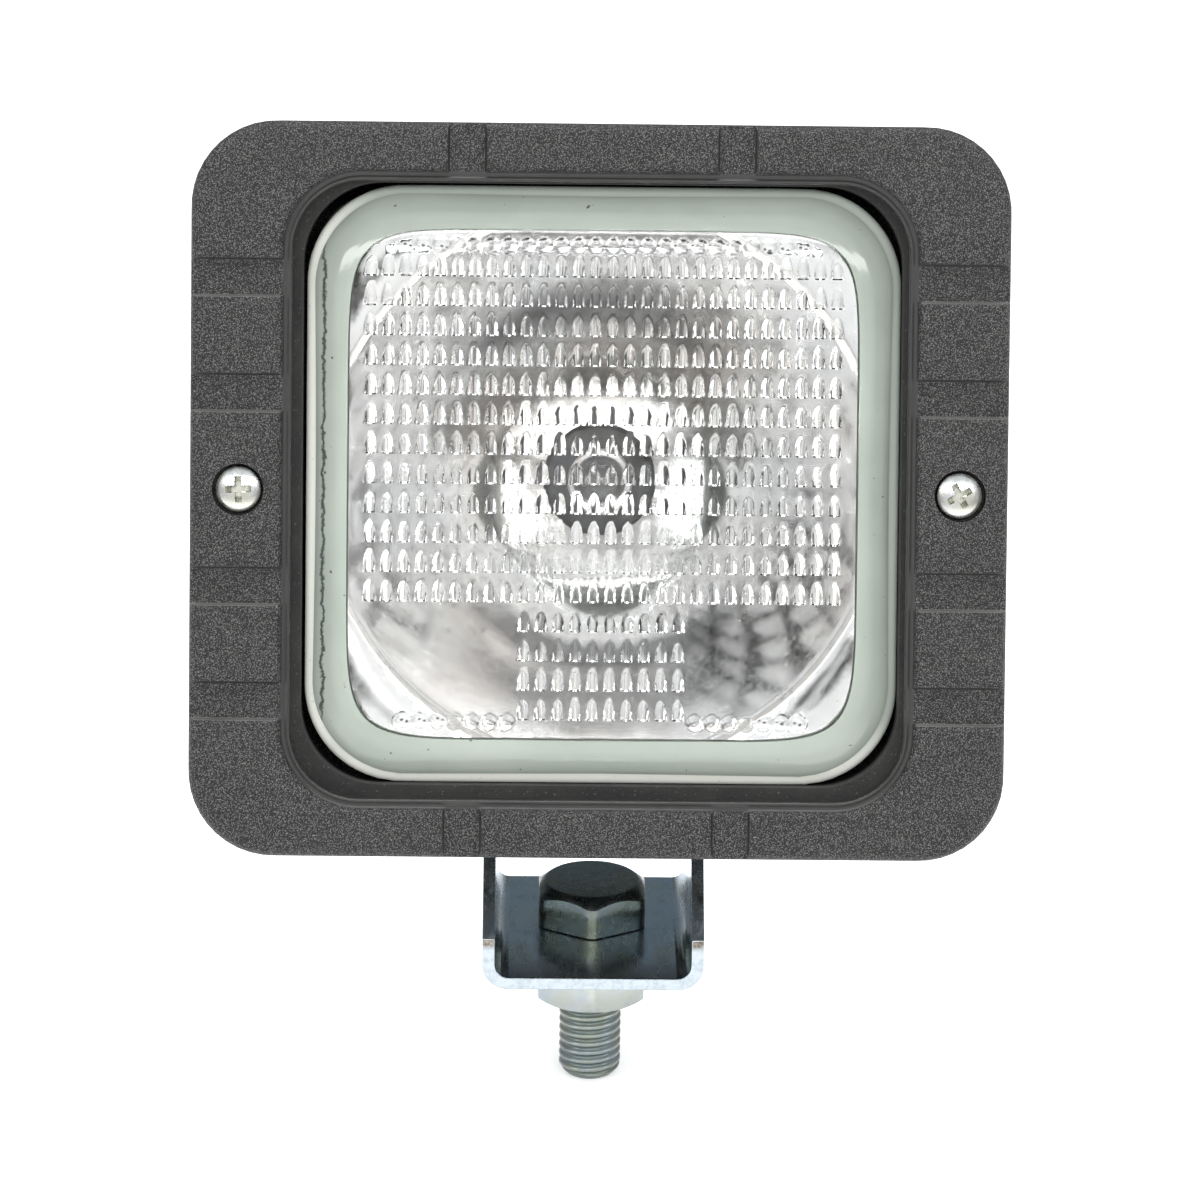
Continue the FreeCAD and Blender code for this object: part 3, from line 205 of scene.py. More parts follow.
def grained_plastic(name, dark, light, roughness, grain, scale=2300.0, glint=0.02):
    """Moulded plastic with a fine leather grain, its hollows at the plain tone and its high spots painted
    pale as highlight glints.
    """
    shade = Shade(name, specular_ior_level=0.32)
    fine = shade.noise(scale, 3.0, 0.65, distortion=0.4)
    pebble = shade.cells(scale * 1.1)
    broad = shade.noise(45.0, 4.0, 0.55)
    height = shade.maths("SUBTRACT", fine, shade.maths("MULTIPLY", pebble, 0.8))
    tone = shade.mix(shade.span(broad, 0.3, 0.7), dark, light)
    # painted highlight: the grain's high spots turn pale as glints
    pale = tuple(c * 3.4 + glint for c in light)
    shade.set(base_color=shade.mix(shade.span(height, 0.12, 0.34), tone, pale))
    shade.set(roughness=shade.span(shade.noise(900.0, 3.0), 0.3, 0.7, roughness - 0.08, roughness + 0.08))
    shade.bump(height, grain)
    return shade.material


def smooth_plastic(name, dark, light, roughness):
    shade = Shade(name, specular_ior_level=0.5)
    broad = shade.noise(70.0, 5.0, 0.6)
    shade.set(base_color=shade.mix(shade.span(broad, 0.3, 0.7), dark, light))
    shade.set(roughness=shade.span(shade.noise(600.0, 4.0), 0.3, 0.7, roughness - 0.07, roughness + 0.1))
    shade.bump(shade.noise(1400.0, 3.0), 0.02)
    return shade.material


def rubber(name, dark, light, grain=0.12):
    shade = Shade(name, specular_ior_level=0.35)
    fine = shade.noise(1500.0, 5.0, 0.7)
    blotch = shade.noise(160.0, 4.0, 0.6)
    dust = shade.span(shade.noise(2600.0, 2.0), 0.66, 0.72, 0.0, 0.5)
    tone = shade.mix(shade.span(blotch, 0.35, 0.7), dark, light)
    shade.set(base_color=shade.mix(dust, tone, (0.16, 0.16, 0.15)))
    shade.set(roughness=shade.span(blotch, 0.3, 0.7, 0.75, 0.95))
    shade.bump(fine, grain)
    return shade.material


def zinc(name, light, dark, roughness, warmth=0.25, streak=(1.0, 1.0, 1.0), knee=None, thread=None):
    """Bright zinc plate: bluish metal with faint yellow and violet clouds and fine handling marks.

    knee is the height where a strip's sheared edges turn from pale to brown; thread is the pair of
    radii between which painted shade fades out of a thread's roots.
    """
    shade = Shade(name, metallic=1.0)
    cloud = shade.noise(120.0, 4.0, 0.6, distortion=0.6)

    def tinted(*weights):
        return tuple(c * w for c, w in zip(light, weights))

    tint = shade.ramp(
        cloud,
        (0.30, tinted(0.90, 0.96, 1.05)),
        (0.48, light),
        (0.62, tinted(1.0, 0.98 - 0.05 * warmth, 0.93 - 0.25 * warmth)),
        (0.74, tinted(0.93, 0.90, 0.98)),
    )
    stain = shade.span(shade.noise(380.0, 6.0, 0.7), 0.52, 0.75, 0.0, 0.75)
    colour = shade.mix(stain, tint, dark)
    if knee:
        # the sheared edges face front and back
        facing = shade.axes(shade.node("ShaderNodeTexCoord").outputs["Normal"])["Y"]
        sheared = shade.span(shade.maths("ABSOLUTE", facing, 0.0), 0.80, 0.92)
        height = shade.axes()["Z"]
        rust = shade.noise(900.0, 4.0, 0.7)
        brown = shade.mix(shade.span(rust, 0.4, 0.6), (0.10, 0.085, 0.07), (0.30, 0.28, 0.25))
        pale = shade.mix(shade.span(rust, 0.45, 0.7), (0.40, 0.45, 0.49), (0.30, 0.34, 0.365))
        raw = shade.mix(shade.span(height, knee - 0.0005, knee + 0.0005), pale, brown)
        colour = shade.mix(sheared, colour, raw)
    if thread:
        # painted shade: the thread's roots darkened to a dark teal
        root = shade.span(shade.off_axis(), *thread, 0.5, 0.0)
        colour = shade.mix(root, colour, (0.035, 0.065, 0.07))
    shade.set(base_color=colour)
    marks = shade.noise(700.0, 5.0, 0.65, place=shade.stretched(*streak))
    shade.set(roughness=shade.span(marks, 0.3, 0.75, roughness - 0.08, roughness + 0.14))
    shade.bump(marks, 0.01)
    return shade.material


def flat_coloured(name, dark, light, roughness, metallic=0.0, scale=400.0):
    shade = Shade(name, metallic=metallic)
    broad = shade.noise(scale, 4.0, 0.6)
    shade.set(base_color=shade.mix(shade.span(broad, 0.35, 0.65), dark, light))
    shade.set(roughness=shade.span(broad, 0.3, 0.7, roughness - 0.06, roughness + 0.08))
    shade.bump(shade.noise(scale * 3.0, 3.0), 0.01)
    return shade.material


def clear_glass(name, colour, ripple=0.0):
    shade = Shade(name, base_color=colour, roughness=0.0, ior=1.5, transmission_weight=1.0)
    if ripple:
        shade.bump(shade.noise(90.0, 2.0, 0.5), ripple)
    return shade.material


def frosted_glass(name, colour, plain, roughness):
    """Ground glass with a painted highlight: whitest along its left side and its foot, fading to plain
    elsewhere.
    """
    shade = Shade(name, ior=1.5, transmission_weight=0.05)
    speck = shade.span(shade.noise(900.0, 4.0, 0.7), 0.63, 0.72, 0.0, 0.6)
    split = shade.axes()
    # painted highlight along the left side and the foot
    left = shade.span(split["X"], -0.0430, -0.0350, 1.0, 0.0)
    foot = shade.span(split["Y"], -0.0430, -0.0350, 1.0, 0.0)
    ground = shade.mix(shade.maths("MAXIMUM", left, foot), plain, colour)
    shade.set(base_color=shade.mix(speck, ground, tuple(c * 0.6 for c in colour)))
    shade.set(roughness=shade.span(shade.noise(200.0, 3.0), 0.3, 0.7, roughness - 0.1, roughness + 0.15))
    shade.bump(shade.noise(700.0, 4.0), 0.03)
    return shade.material


def border_glass():
    """The plain border: pale green glass over its bond, with a ragged dark glue line and a few specks."""
    shade = Shade("lens_glass_border", ior=1.5, transmission_weight=0.22)
    broad = shade.noise(60.0, 3.0)
    tone = shade.mix(shade.span(broad, 0.3, 0.7), (0.41, 0.465, 0.41), (0.48, 0.535, 0.475))
    split = shade.axes()
    ragged = shade.span(shade.noise(420.0, 5.0, 0.75), 0.3, 0.7, -0.00045, 0.00045)
    away = shade.maths("ADD", shade.maths("ADD", split["X"], 0.0430), ragged)
    away = shade.maths("ABSOLUTE", away, 0.0)
    line = shade.span(away, 0.00012, 0.00034, 0.85, 0.0)
    along = shade.span(shade.maths("ABSOLUTE", split["Y"], 0.0), 0.034, 0.040, 1.0, 0.0)
    line = shade.maths("MULTIPLY", line, along)
    specks = shade.span(shade.noise(850.0, 2.0, 0.4), 0.74, 0.77, 0.0, 0.8)
    dark = shade.maths("MAXIMUM", line, specks)
    shade.set(base_color=shade.mix(dark, tone, (0.03, 0.04, 0.035)))
    shade.set(roughness=shade.span(shade.noise(150.0, 3.0), 0.3, 0.7, 0.04, 0.12))
    shade.bump(shade.noise(70.0, 2.0), 0.15)
    return shade.material


def mirror():
    """Aluminised reflector: nearly a mirror, with slow ripples, pinholes and a painted dark reflection in a
    broken ring.
    """
    shade = Shade("reflector_mirror", metallic=1.0)
    tint = shade.ramp(
        shade.noise(38.0, 3.0),
        (0.35, (0.92, 0.92, 0.93)), (0.55, (0.96, 0.95, 0.94)), (0.68, (0.88, 0.82, 0.79)),
    )
    warped = shade.maths("ADD", 1.0, shade.span(shade.noise(30.0, 2.0), 0.3, 0.7, -0.05, 0.05))
    radius = shade.maths("MULTIPLY", shade.off_axis(), warped)
    # painted reflection: a dark ring at 27.2 mm radius, faint near the middle height and strongest towards
    # top and bottom
    away = shade.maths("ABSOLUTE", shade.maths("SUBTRACT", radius, 0.0272), 0.0)
    ring = shade.span(away, 0.0012, 0.0030, 1.0, 0.0)
    upright = shade.span(shade.maths("ABSOLUTE", shade.axes()["Y"], 0.0), 0.016, 0.023, 0.10, 0.75)
    tint = shade.mix(shade.maths("MULTIPLY", ring, upright), tint, (0.07, 0.075, 0.075))
    specks = shade.span(shade.noise(2400.0, 2.0), 0.70, 0.76, 0.0, 0.5)
    shade.set(base_color=shade.mix(specks, tint, (0.35, 0.34, 0.33)))
    shade.set(roughness=shade.span(shade.noise(900.0, 5.0, 0.7), 0.35, 0.75, 0.03, 0.14))
    shade.bump(shade.noise(26.0, 1.0, 0.4), 0.6)
    return shade.material


bezel_black = grained_plastic(
    "bezel_black", (0.0035, 0.0037, 0.0033), (0.008, 0.0084, 0.0077), 0.40, 0.14, 4100.0, 0.095
)
bezel_lip = smooth_plastic("bezel_lip", (0.010, 0.010, 0.0095), (0.018, 0.018, 0.017), 0.40)
# painted highlight: a paler plastic for the bands' steps that face up
bezel_step_highlight = smooth_plastic("bezel_step_painted_highlight", (0.035, 0.036, 0.034), (0.075, 0.076, 0.072), 0.36)
housing_black = grained_plastic(
    "housing_black", (0.014, 0.014, 0.014), (0.022, 0.022, 0.021), 0.46, 0.08, 2600.0
)
seal_rubber = rubber("seal_rubber", (0.016, 0.016, 0.016), (0.034, 0.034, 0.032))
sealant_dark = rubber("lens_sealant", (0.03, 0.032, 0.03), (0.07, 0.075, 0.07), 0.3)
glass_clear = clear_glass("lens_glass_clear", (0.985, 0.995, 0.99), ripple=0.06)
glass_green = border_glass()
glass_edge = frosted_glass("lens_glass_edge", (0.84, 0.86, 0.79), (0.42, 0.47, 0.42), 0.40)
mirror_bright = mirror()
neck_dark = flat_coloured("reflector_neck", (0.03, 0.03, 0.03), (0.06, 0.055, 0.05), 0.6)
rim_dull = flat_coloured("reflector_rim", (0.70, 0.69, 0.68), (0.82, 0.80, 0.78), 0.30, 1.0)
stud_zinc = zinc(
    "stud_zinc", (0.29, 0.325, 0.32), (0.12, 0.165, 0.17), 0.34, warmth=0.6, thread=(0.00456, 0.00480)
)
head_zinc = zinc("head_zinc", (0.20, 0.225, 0.22), (0.09, 0.12, 0.125), 0.28, warmth=0.8)
nut_zinc = zinc("nut_zinc", (0.47, 0.51, 0.51), (0.34, 0.38, 0.39), 0.42, warmth=0.2)
washer_zinc = zinc("washer_zinc", (0.66, 0.68, 0.70), (0.30, 0.33, 0.35), 0.34)
bracket_zinc = zinc(
    "bracket_zinc", (0.47, 0.54, 0.59), (0.30, 0.35, 0.40), 0.22,
    streak=(1.0, 0.15, 1.0), knee=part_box("bracket")[0].z + 7.2 * MM,
)
pivot_zinc = zinc("pivot_zinc", (0.64, 0.66, 0.67), (0.26, 0.28, 0.30), 0.30)
screw_zinc = zinc("screw_zinc", (0.60, 0.615, 0.60), (0.25, 0.26, 0.27), 0.24)
holder_steel = zinc("holder_steel", (0.58, 0.58, 0.57), (0.25, 0.22, 0.18), 0.36)
base_steel = zinc("base_steel", (0.10, 0.10, 0.10), (0.04, 0.04, 0.035), 0.45)
quartz = clear_glass("bulb_quartz", (0.98, 0.98, 0.98))
tungsten = flat_coloured("filament_tungsten", (0.20, 0.19, 0.18), (0.34, 0.33, 0.31), 0.35, 1.0, 4000.0)
socket_black = grained_plastic(
    "socket_black", (0.014, 0.014, 0.014), (0.022, 0.022, 0.022), 0.42, 0.03, 2600.0, 0.01
)
brass = flat_coloured("blade_brass", (0.62, 0.46, 0.20), (0.78, 0.62, 0.32), 0.28, 1.0, 500.0)
live_red = flat_coloured("lead_live", (0.30, 0.02, 0.02), (0.42, 0.04, 0.03), 0.42)
earth_black = flat_coloured("lead_earth", (0.02, 0.02, 0.02), (0.035, 0.035, 0.035), 0.42)


# --- mesh helpers ----------------------------------------------------------------------------------

def add_object(name, data, place=None):
    obj = bpy.data.objects.new(name, data)
    bpy.context.scene.collection.objects.link(obj)
    if place is not None:
        obj.matrix_world = place
    return obj


def make_piece(name, points, faces, body, materials, place=None, smooth=35.0, indices=None, baked=False):
    """A mesh from millimetre points, riding on its CAD body; a baked one has its place in its points."""
    mesh = bpy.data.meshes.new(name)
    mesh.from_pydata((np.asarray(points, float) * MM).tolist(), [], faces)
    mesh.validate()
    for material in materials if isinstance(materials, (list, tuple)) else [materials]:
        mesh.materials.append(material)
    if indices is not None:
        mesh.polygons.foreach_set("material_index", np.asarray(indices, np.int32))
    if baked:
        mesh.transform(place)
    obj = add_object(name, mesh, None if baked else place)
    recalculate(obj)
    shade_by_angle(obj, smooth)
    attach(obj, body)
    return obj


def recalculate(obj):
    work = bmesh.new()
    work.from_mesh(obj.data)
    bmesh.ops.remove_doubles(work, verts=work.verts, dist=1e-7)
    bmesh.ops.recalc_face_normals(work, faces=work.faces)
    work.to_mesh(obj.data)
    work.free()


def shade_by_angle(obj, degrees):
    obj.data.shade_smooth()
    if degrees < 180.0:
        obj.data.set_sharp_from_angle(angle=math.radians(degrees))


def loop_faces(rows, count, closed_rows=False):
    """Quads between rings of count points each; the rings run closed."""
    faces = []
    last = rows if closed_rows else rows - 1
    for row in range(last):
        here, there = row * count, ((row + 1) % rows) * count
        for k in range(count):
            nxt = (k + 1) % count
            faces.append((here + k, here + nxt, there + nxt, there + k))
    return faces


def round_the_clock(steps):
    angles = np.arange(steps) * 2 * math.pi / steps
    return angles, np.cos(angles), np.sin(angles)


def ring_at(radius, ux, uy, z):
    """Points at a radius along the unit ways (ux, uy), all at a height or each at its own."""
    return np.stack([radius * ux, radius * uy, np.broadcast_to(z, ux.shape)], 1)


def lathe(profile, steps):
    """Points and faces of a half profile of (radius, height) turned about z, open at both ends."""
    _, ux, uy = round_the_clock(steps)
    return np.concatenate([ring_at(r, ux, uy, z) for r, z in profile]), loop_faces(len(profile), steps)


def capped(rows, steps):
    """The two end faces of a stack of rings."""
    return [tuple(range(steps - 1, -1, -1)), tuple(range((rows - 1) * steps, rows * steps))]


def round_hit(px, py, dx, dy, half_x, half_y, corner):
    """Distance along rays in the first quadrant to a round-cornered rectangle."""
    with np.errstate(divide="ignore", invalid="ignore"):
        tx = np.where(dx > 1e-9, (half_x - px) / np.maximum(dx, 1e-9), 1e9)
        ty = np.where(dy > 1e-9, (half_y - py) / np.maximum(dy, 1e-9), 1e9)
    t = np.minimum(tx, ty)
    x, y = px + t * dx, py + t * dy
    cx, cy = half_x - corner, half_y - corner
    inside = (x > cx) & (y > cy)
    ox, oy = px - cx, py - cy
    b = ox * dx + oy * dy
    c = ox * ox + oy * oy - corner * corner
    arc = -b + np.sqrt(np.maximum(b * b - c, 0.0))
    return np.where(inside, arc, t)


def spaced(low, high, step):
    return np.linspace(low, high, max(2, int(math.ceil((high - low) / step)) + 1))


def frame_stations(width, height, corner, marks_x=(), marks_y=(), step=1.6, arc_steps=18):
    """Points on a round-cornered outline and their outward ways, with extra stations at the marks."""
    cx, cy = width / 2 - corner, height / 2 - corner
    sides = []
    for extent, marks in ((cy, marks_y), (cx, marks_x)):
        along = list(spaced(-extent, extent, step))
        along = [a for a in along if all(abs(a - m) > 0.45 for m in marks)] + list(marks)
        sides.append(np.array(sorted(a for a in along if -extent < a < extent)))
    turn = np.linspace(0, math.pi / 2, arc_steps + 1)
    points, ways = [], []

    def corner_at(sx, sy, start):
        for angle in turn + start:
            way = (math.cos(angle), math.sin(angle))
            points.append((sx * cx + corner * way[0], sy * cy + corner * way[1]))
            ways.append(way)

    points += [(width / 2, y) for y in sides[0]]
    ways += [(1.0, 0.0)] * len(sides[0])
    corner_at(1, 1, 0.0)
    points += [(x, height / 2) for x in sides[1][::-1]]
    ways += [(0.0, 1.0)] * len(sides[1])
    corner_at(-1, 1, math.pi / 2)
    points += [(-width / 2, y) for y in sides[0][::-1]]
    ways += [(-1.0, 0.0)] * len(sides[0])
    corner_at(-1, -1, math.pi)
    points += [(x, -height / 2) for x in sides[1]]
    ways += [(0.0, -1.0)] * len(sides[1])
    corner_at(1, -1, math.pi * 1.5)
    return np.array(points), np.array(ways)


def cut_with(obj, cutters, operation="DIFFERENCE"):
    """Apply boolean cutters to a piece and drop them."""
    for cutter in cutters:
        modifier = obj.modifiers.new("cut", "BOOLEAN")
        modifier.operation = operation
        modifier.solver = "EXACT"
        modifier.object = cutter
    bpy.context.view_layer.update()
    made = bpy.data.meshes.new_from_object(obj.evaluated_get(bpy.context.evaluated_depsgraph_get()))
    obj.modifiers.clear()
    obj.data = made
    for cutter in cutters:
        bpy.data.objects.remove(cutter)


def loose_mesh(name, points, faces, place=None, material=None):
    """A helper solid from millimetre points, to cut or join with."""
    mesh = bpy.data.meshes.new(name)
    mesh.from_pydata((np.asarray(points, float) * MM).tolist(), [], faces)
    if material:
        mesh.materials.append(material)
    obj = add_object(name, mesh, place)
    recalculate(obj)
    return obj


def rod(radius, low, high, steps=48, x=0.0, y=0.0):
    points, faces = lathe([(radius, low), (radius, high)], steps)
    return points + np.array([x, y, 0.0]), faces + capped(2, steps)


def block(low_ring, high_ring):
    """Points and faces of a six-sided block between two rings of four points."""
    faces = [(0, 1, 2, 3), (4, 5, 6, 7), (0, 1, 5, 4), (1, 2, 6, 5), (2, 3, 7, 6), (3, 0, 4, 7)]
    return low_ring + high_ring, faces


# --- bezel -----------------------------------------------------------------------------------------

BAND_DEEP = 0.8
BAND_HALF = 2.85
SIDE_BANDS = (-32.3, -14.75, 14.75, 32.3)
END_BANDS = (-20.55, 20.55)
# a band's rounded step: distance from its edge, and share of its depth
STEP_SHAPE = (
    (-0.32, 1.0), (-0.22, 0.96), (-0.13, 0.80), (-0.03, 0.5), (0.07, 0.20), (0.16, 0.05), (0.28, 0.0),
)
FACE_START = 3.6
RECESS_R = 3.95
GRAIN, LIP, LIT_STEP = 0, 1, 2


def band_share(along, bands):
    """1 on a band's floor, 0 beside it, with a rounded step between."""
    offsets = [s[0] for s in STEP_SHAPE]
    shares = [s[1] for s in STEP_SHAPE]
    out = np.zeros_like(along)
    for centre in bands:
        edge = np.abs(along - centre) - BAND_HALF
        out = np.maximum(out, np.interp(edge, offsets, shares))
    return out


def band_marks(bands):
    return [c + s * (BAND_HALF + o) for c in bands for s in (-1, 1) for o, _ in STEP_SHAPE]


def make_bezel():
    """A closed ring of sections from the opening over the face, round the rim and back inside.

    Each section is a list of (reach from the opening or inset from the outline, height).
    """
    start, way = frame_stations(
        OPEN_W, OPEN_H, OPEN_R, band_marks(END_BANDS), band_marks(SIDE_BANDS), step=1.5, arc_steps=22
    )
    count = len(start)
    sideways = np.abs(way[:, 0]) > 0.999
    upright = np.abs(way[:, 1]) > 0.999
    share = np.where(sideways, band_share(start[:, 1], SIDE_BANDS), 0.0)
    share = np.maximum(share, np.where(upright, band_share(start[:, 0], END_BANDS), 0.0))
    px, py = np.abs(start[:, 0]), np.abs(start[:, 1])
    dx, dy = np.abs(way[:, 0]), np.abs(way[:, 1])
    rim_round = 1.6
    inner = [
        (0.0, -4.2), (0.0, -2.6), (0.0, -1.2), (0.06, -0.98), (0.18, -0.84), (0.32, -0.80), (0.46, -0.86),
        (0.62, -1.0), (0.80, -1.05), (1.0, -1.02), (1.2, -0.88), (1.4, -0.62), (1.58, -0.34), (1.78, -0.13),
        (2.05, -0.03), (2.4, 0.0), (FACE_START, 0.0),
    ]
    arcs = [math.radians(a) for a in (90, 75, 60, 45, 30, 15, 0)]
    outer = [(FACE_START, 0.0)]
    outer += [(rim_round * (1 - math.cos(a)), rim_round * (math.sin(a) - 1)) for a in arcs]
    outer += [(0.0, -5.0), (0.0, -9.0), (0.0, -11.4), (0.15, 0.15 - BEZEL_DEEP), (0.5, -BEZEL_DEEP)]
    outer += [(2.2, -BEZEL_DEEP), (2.6, -11.7)]
    outer += [(2.6, -8.0), (2.6, -4.6)]
    back = [(3.8, -4.6), (3.8, -8.8), (3.6, -9.0), (2.0, -9.0), (1.8, -8.8), (1.8, -4.4), (1.6, -4.2)]
    bands = -BAND_DEEP * share
    rings, kinds = [], []

    def add(reach, z, kind, banded=False):
        flat = start + way * np.broadcast_to(reach, count)[:, None]
        height = np.minimum(np.full(count, z), bands) if banded else np.full(count, z)
        rings.append(np.column_stack([flat, height]))
        kinds.append(kind)

    for reach, z in inner:
        add(reach, z, LIP if reach < 1.3 else GRAIN, banded=reach > 1.1)
    for place, (inset, z) in enumerate(outer):
        t = round_hit(px, py, dx, dy, BEZEL_W / 2 - inset, BEZEL_H / 2 - inset, max(BEZEL_R - inset, 0.5))
        if place == 0:
            for part in (0.25, 0.5, 0.75):
                add(FACE_START + (t - FACE_START) * part, 0.0, GRAIN, banded=True)
        add(t, z, GRAIN, banded=z > -BAND_DEEP)
    for reach, z in back:
        add(reach, z, LIP)
    points = np.concatenate(rings)
    faces = loop_faces(len(rings), count, closed_rows=True)
    rise = np.roll(share, -1) - share
    climb = np.roll(start[:, 1], -1) - start[:, 1]
    # the bands' steps show smooth, and painted pale as a highlight where they face up
    stepping = np.where(np.abs(rise) > 0.1, np.where(sideways & (rise * climb > 0.0), LIT_STEP, LIP), GRAIN)
    riser_rows = range(len(inner) - 4, len(inner) + 10)
    indices = np.repeat(kinds, count).reshape(len(rings), count)
    indices[riser_rows] = np.maximum(indices[riser_rows], stepping)
    bezel = make_piece(
        "bezel_moulding", points, faces, "lamp_head", [bezel_black, bezel_lip, bezel_step_highlight],
        HEAD, 180.0, indices.ravel(), baked=True,
    )
    cutters = []
    for side in (-1.0, 1.0):
        for radius, low in ((RECESS_R, SCREW_SEAT), (2.1, -14.0)):
            hole = rod(radius, low, 2.0, 64, side * SCREW_X)
            cutters.append(loose_mesh("cutter", *hole, HEAD, bezel_lip))
    cut_with(bezel, cutters)
    shade_by_angle(bezel, 42.0)
    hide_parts("bezel")


make_bezel()


# --- rear housing ------------------------------------------------------------------------------------

WALL = 2.0
# height, width, upright size and corner radius of each section
HOUSING_SECTIONS = (
    (-6.2, 119.2, 106.5, 10.1), (-14.0, 119.2, 106.5, 10.1), (-30.0, 98.0, 76.0, 30.0),
    (-50.0, 78.0, 62.0, 26.0), (-70.0, 52.0, 46.0, 16.0),
)
LUG_R, LUG_ROOT, LUG_HALF, LUG_BORE = 9.0, 19.0, 15.1, 4.5
LUG_EASE = 0.6
BOSS_R, PILOT_R = 3.5, 1.9
CAP_ROUND = 2.0
SOCKET_W, SOCKET_H, SOCKET_Y = 20.2, 12.2, -10.0


def section_ring(width, height, corner, z, sides=8, arc=14):
    """A round-cornered ring with the same count of points at every size."""
    quarters = ((1, 1), (-1, 1), (-1, -1), (1, -1))
    middle = np.array((width / 2 - corner, height / 2 - corner))

    def on_corner(quarter, share):
        angle = math.pi / 2 * (quarter + share)
        return middle * quarters[quarter % 4] + corner * np.array((math.cos(angle), math.sin(angle)))

    points = []
    for k in range(4):
        points += [on_corner(k, step / arc) for step in range(arc + 1)]
        here, there = points[-1], on_corner(k + 1, 0.0)
        points += [here + (there - here) * step / sides for step in range(1, sides)]
    return np.column_stack([points, np.full(len(points), z)])


def eased(values, depths, z):
    """A smooth curve through the sections' sizes, straight along the rim."""
    slopes = np.gradient(values, depths)
    slopes[0] = slopes[1] = 0.0
    k = int(np.clip(np.searchsorted(-np.array(depths), -z) - 1, 0, len(depths) - 2))
    gap = depths[k + 1] - depths[k]
    t = (z - depths[k]) / gap
    return (
        (2 * t**3 - 3 * t**2 + 1) * values[k] + (t**3 - 2 * t**2 + t) * gap * slopes[k]
        + (3 * t**2 - 2 * t**3) * values[k + 1] + (t**3 - t**2) * gap * slopes[k + 1]
    )


def shell_rings(levels, inset):
    depths = np.array([s[0] for s in HOUSING_SECTIONS])
    sizes = [np.array([s[n] for s in HOUSING_SECTIONS]) for n in (1, 2, 3)]
    rings = []
    for z in levels:
        width, height, corner = (eased(values, depths, z) for values in sizes)
        rings.append(section_ring(width - inset * 2, height - inset * 2, max(corner - inset, 1.0), z))
    return rings


def on_screws(name, radius, low, high, steps):
    rods = [rod(radius, low, high, steps, side * SCREW_X) for side in (-1.0, 1.0)]
    return [loose_mesh(name, *parts, HEAD, housing_black) for parts in rods]


def make_housing():
    cap = HOUSING_SECTIONS[-1][0]
    front = HOUSING_SECTIONS[0][0]
    outer = [front, -7.0, -9.0, -12.0, -13.2, -13.9] + list(np.linspace(-14.8, cap + CAP_ROUND, 34))
    rings = shell_rings(outer, 0.0)
    _, width, height, corner = HOUSING_SECTIONS[-1]
    for k in range(1, 6):
        angle = math.pi / 2 * k / 5
        inset = CAP_ROUND * (1.0 - math.cos(angle))
        z = cap + CAP_ROUND * (1.0 - math.sin(angle))
        rings.append(section_ring(width - inset * 2, height - inset * 2, corner - inset - 0.4, z))
    count = len(rings[0])
    for share in (0.75, 0.6, 0.6):
        rings.append(rings[-1] * np.array([share, share, 1.0]))
    inner = shell_rings(sorted([front, -9.0, -13.0] + list(np.linspace(-15.0, cap + WALL, 20))), WALL)
    shell = rings[::-1]
    centres = [ring.mean(axis=0)[None, :] for ring in (shell[0], inner[0])]
    points = np.concatenate([centres[0]] + shell + inner[::-1] + [centres[1]])
    total = len(shell) + len(inner)
    faces = [(0, 1 + (k + 1) % count, 1 + k) for k in range(count)]
    faces += [tuple(i + 1 for i in face) for face in loop_faces(total, count)]
    end = 1 + total * count
    faces += [(end, end - count + k, end - count + (k + 1) % count) for k in range(count)]
    housing = make_piece(
        "rear_housing_moulding", points, faces, "lamp_head", housing_black, HEAD, 180.0, baked=True
    )
    joined = on_screws("boss", BOSS_R, -21.0, -7.0, 48)
    eye = [(LUG_R - LUG_EASE, LUG_HALF), (LUG_R, LUG_HALF - LUG_EASE)]
    eye_points, eye_faces = lathe([(r, -z) for r, z in eye] + eye[::-1], 64)
    lug_place = HEAD @ Matrix.Translation(Vector((0, -PIVOT_DROP * MM, -PIVOT_DEPTH * MM)))
    lug_place = lug_place @ Matrix.Rotation(math.pi / 2, 4, "Y")
    joined.append(loose_mesh("eye", eye_points, eye_faces + capped(4, 64), lug_place, housing_black))
    cut_with(housing, joined, "UNION")
    corners = ((-1, -1), (1, -1), (1, 1), (-1, 1))
    sides = [(x * LUG_HALF, z * LUG_R - PIVOT_DEPTH) for x, z in corners]
    root = block(*([(x, y, z) for x, z in sides] for y in (-PIVOT_DROP, -PIVOT_DROP + LUG_ROOT)))
    cut_with(housing, [loose_mesh("root", *root, HEAD, housing_black)], "UNION")
    bore = loose_mesh("bore", *rod(LUG_BORE, -20.0, 20.0, 64), lug_place, housing_black)
    sides = [(x * SOCKET_W / 2, SOCKET_Y + y * SOCKET_H / 2) for x, y in corners]
    window = block(*([(x, y, z) for x, y in sides] for z in (cap - 3.0, cap + 6.0)))
    cutters = [bore, loose_mesh("window", *window, HEAD, housing_black)]
    cut_with(housing, cutters + on_screws("pilot", PILOT_R, -18.0, 2.0, 32))
    bevel = housing.modifiers.new("bevel", "BEVEL")
    bevel.width = 0.5 * MM
    bevel.segments = 2
    bevel.limit_method = "ANGLE"
    bevel.angle_limit = math.radians(50)
    shade_by_angle(housing, 40.0)
    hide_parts("rear_housing")


make_housing()


# --- lens glass ------------------------------------------------------------------------------------

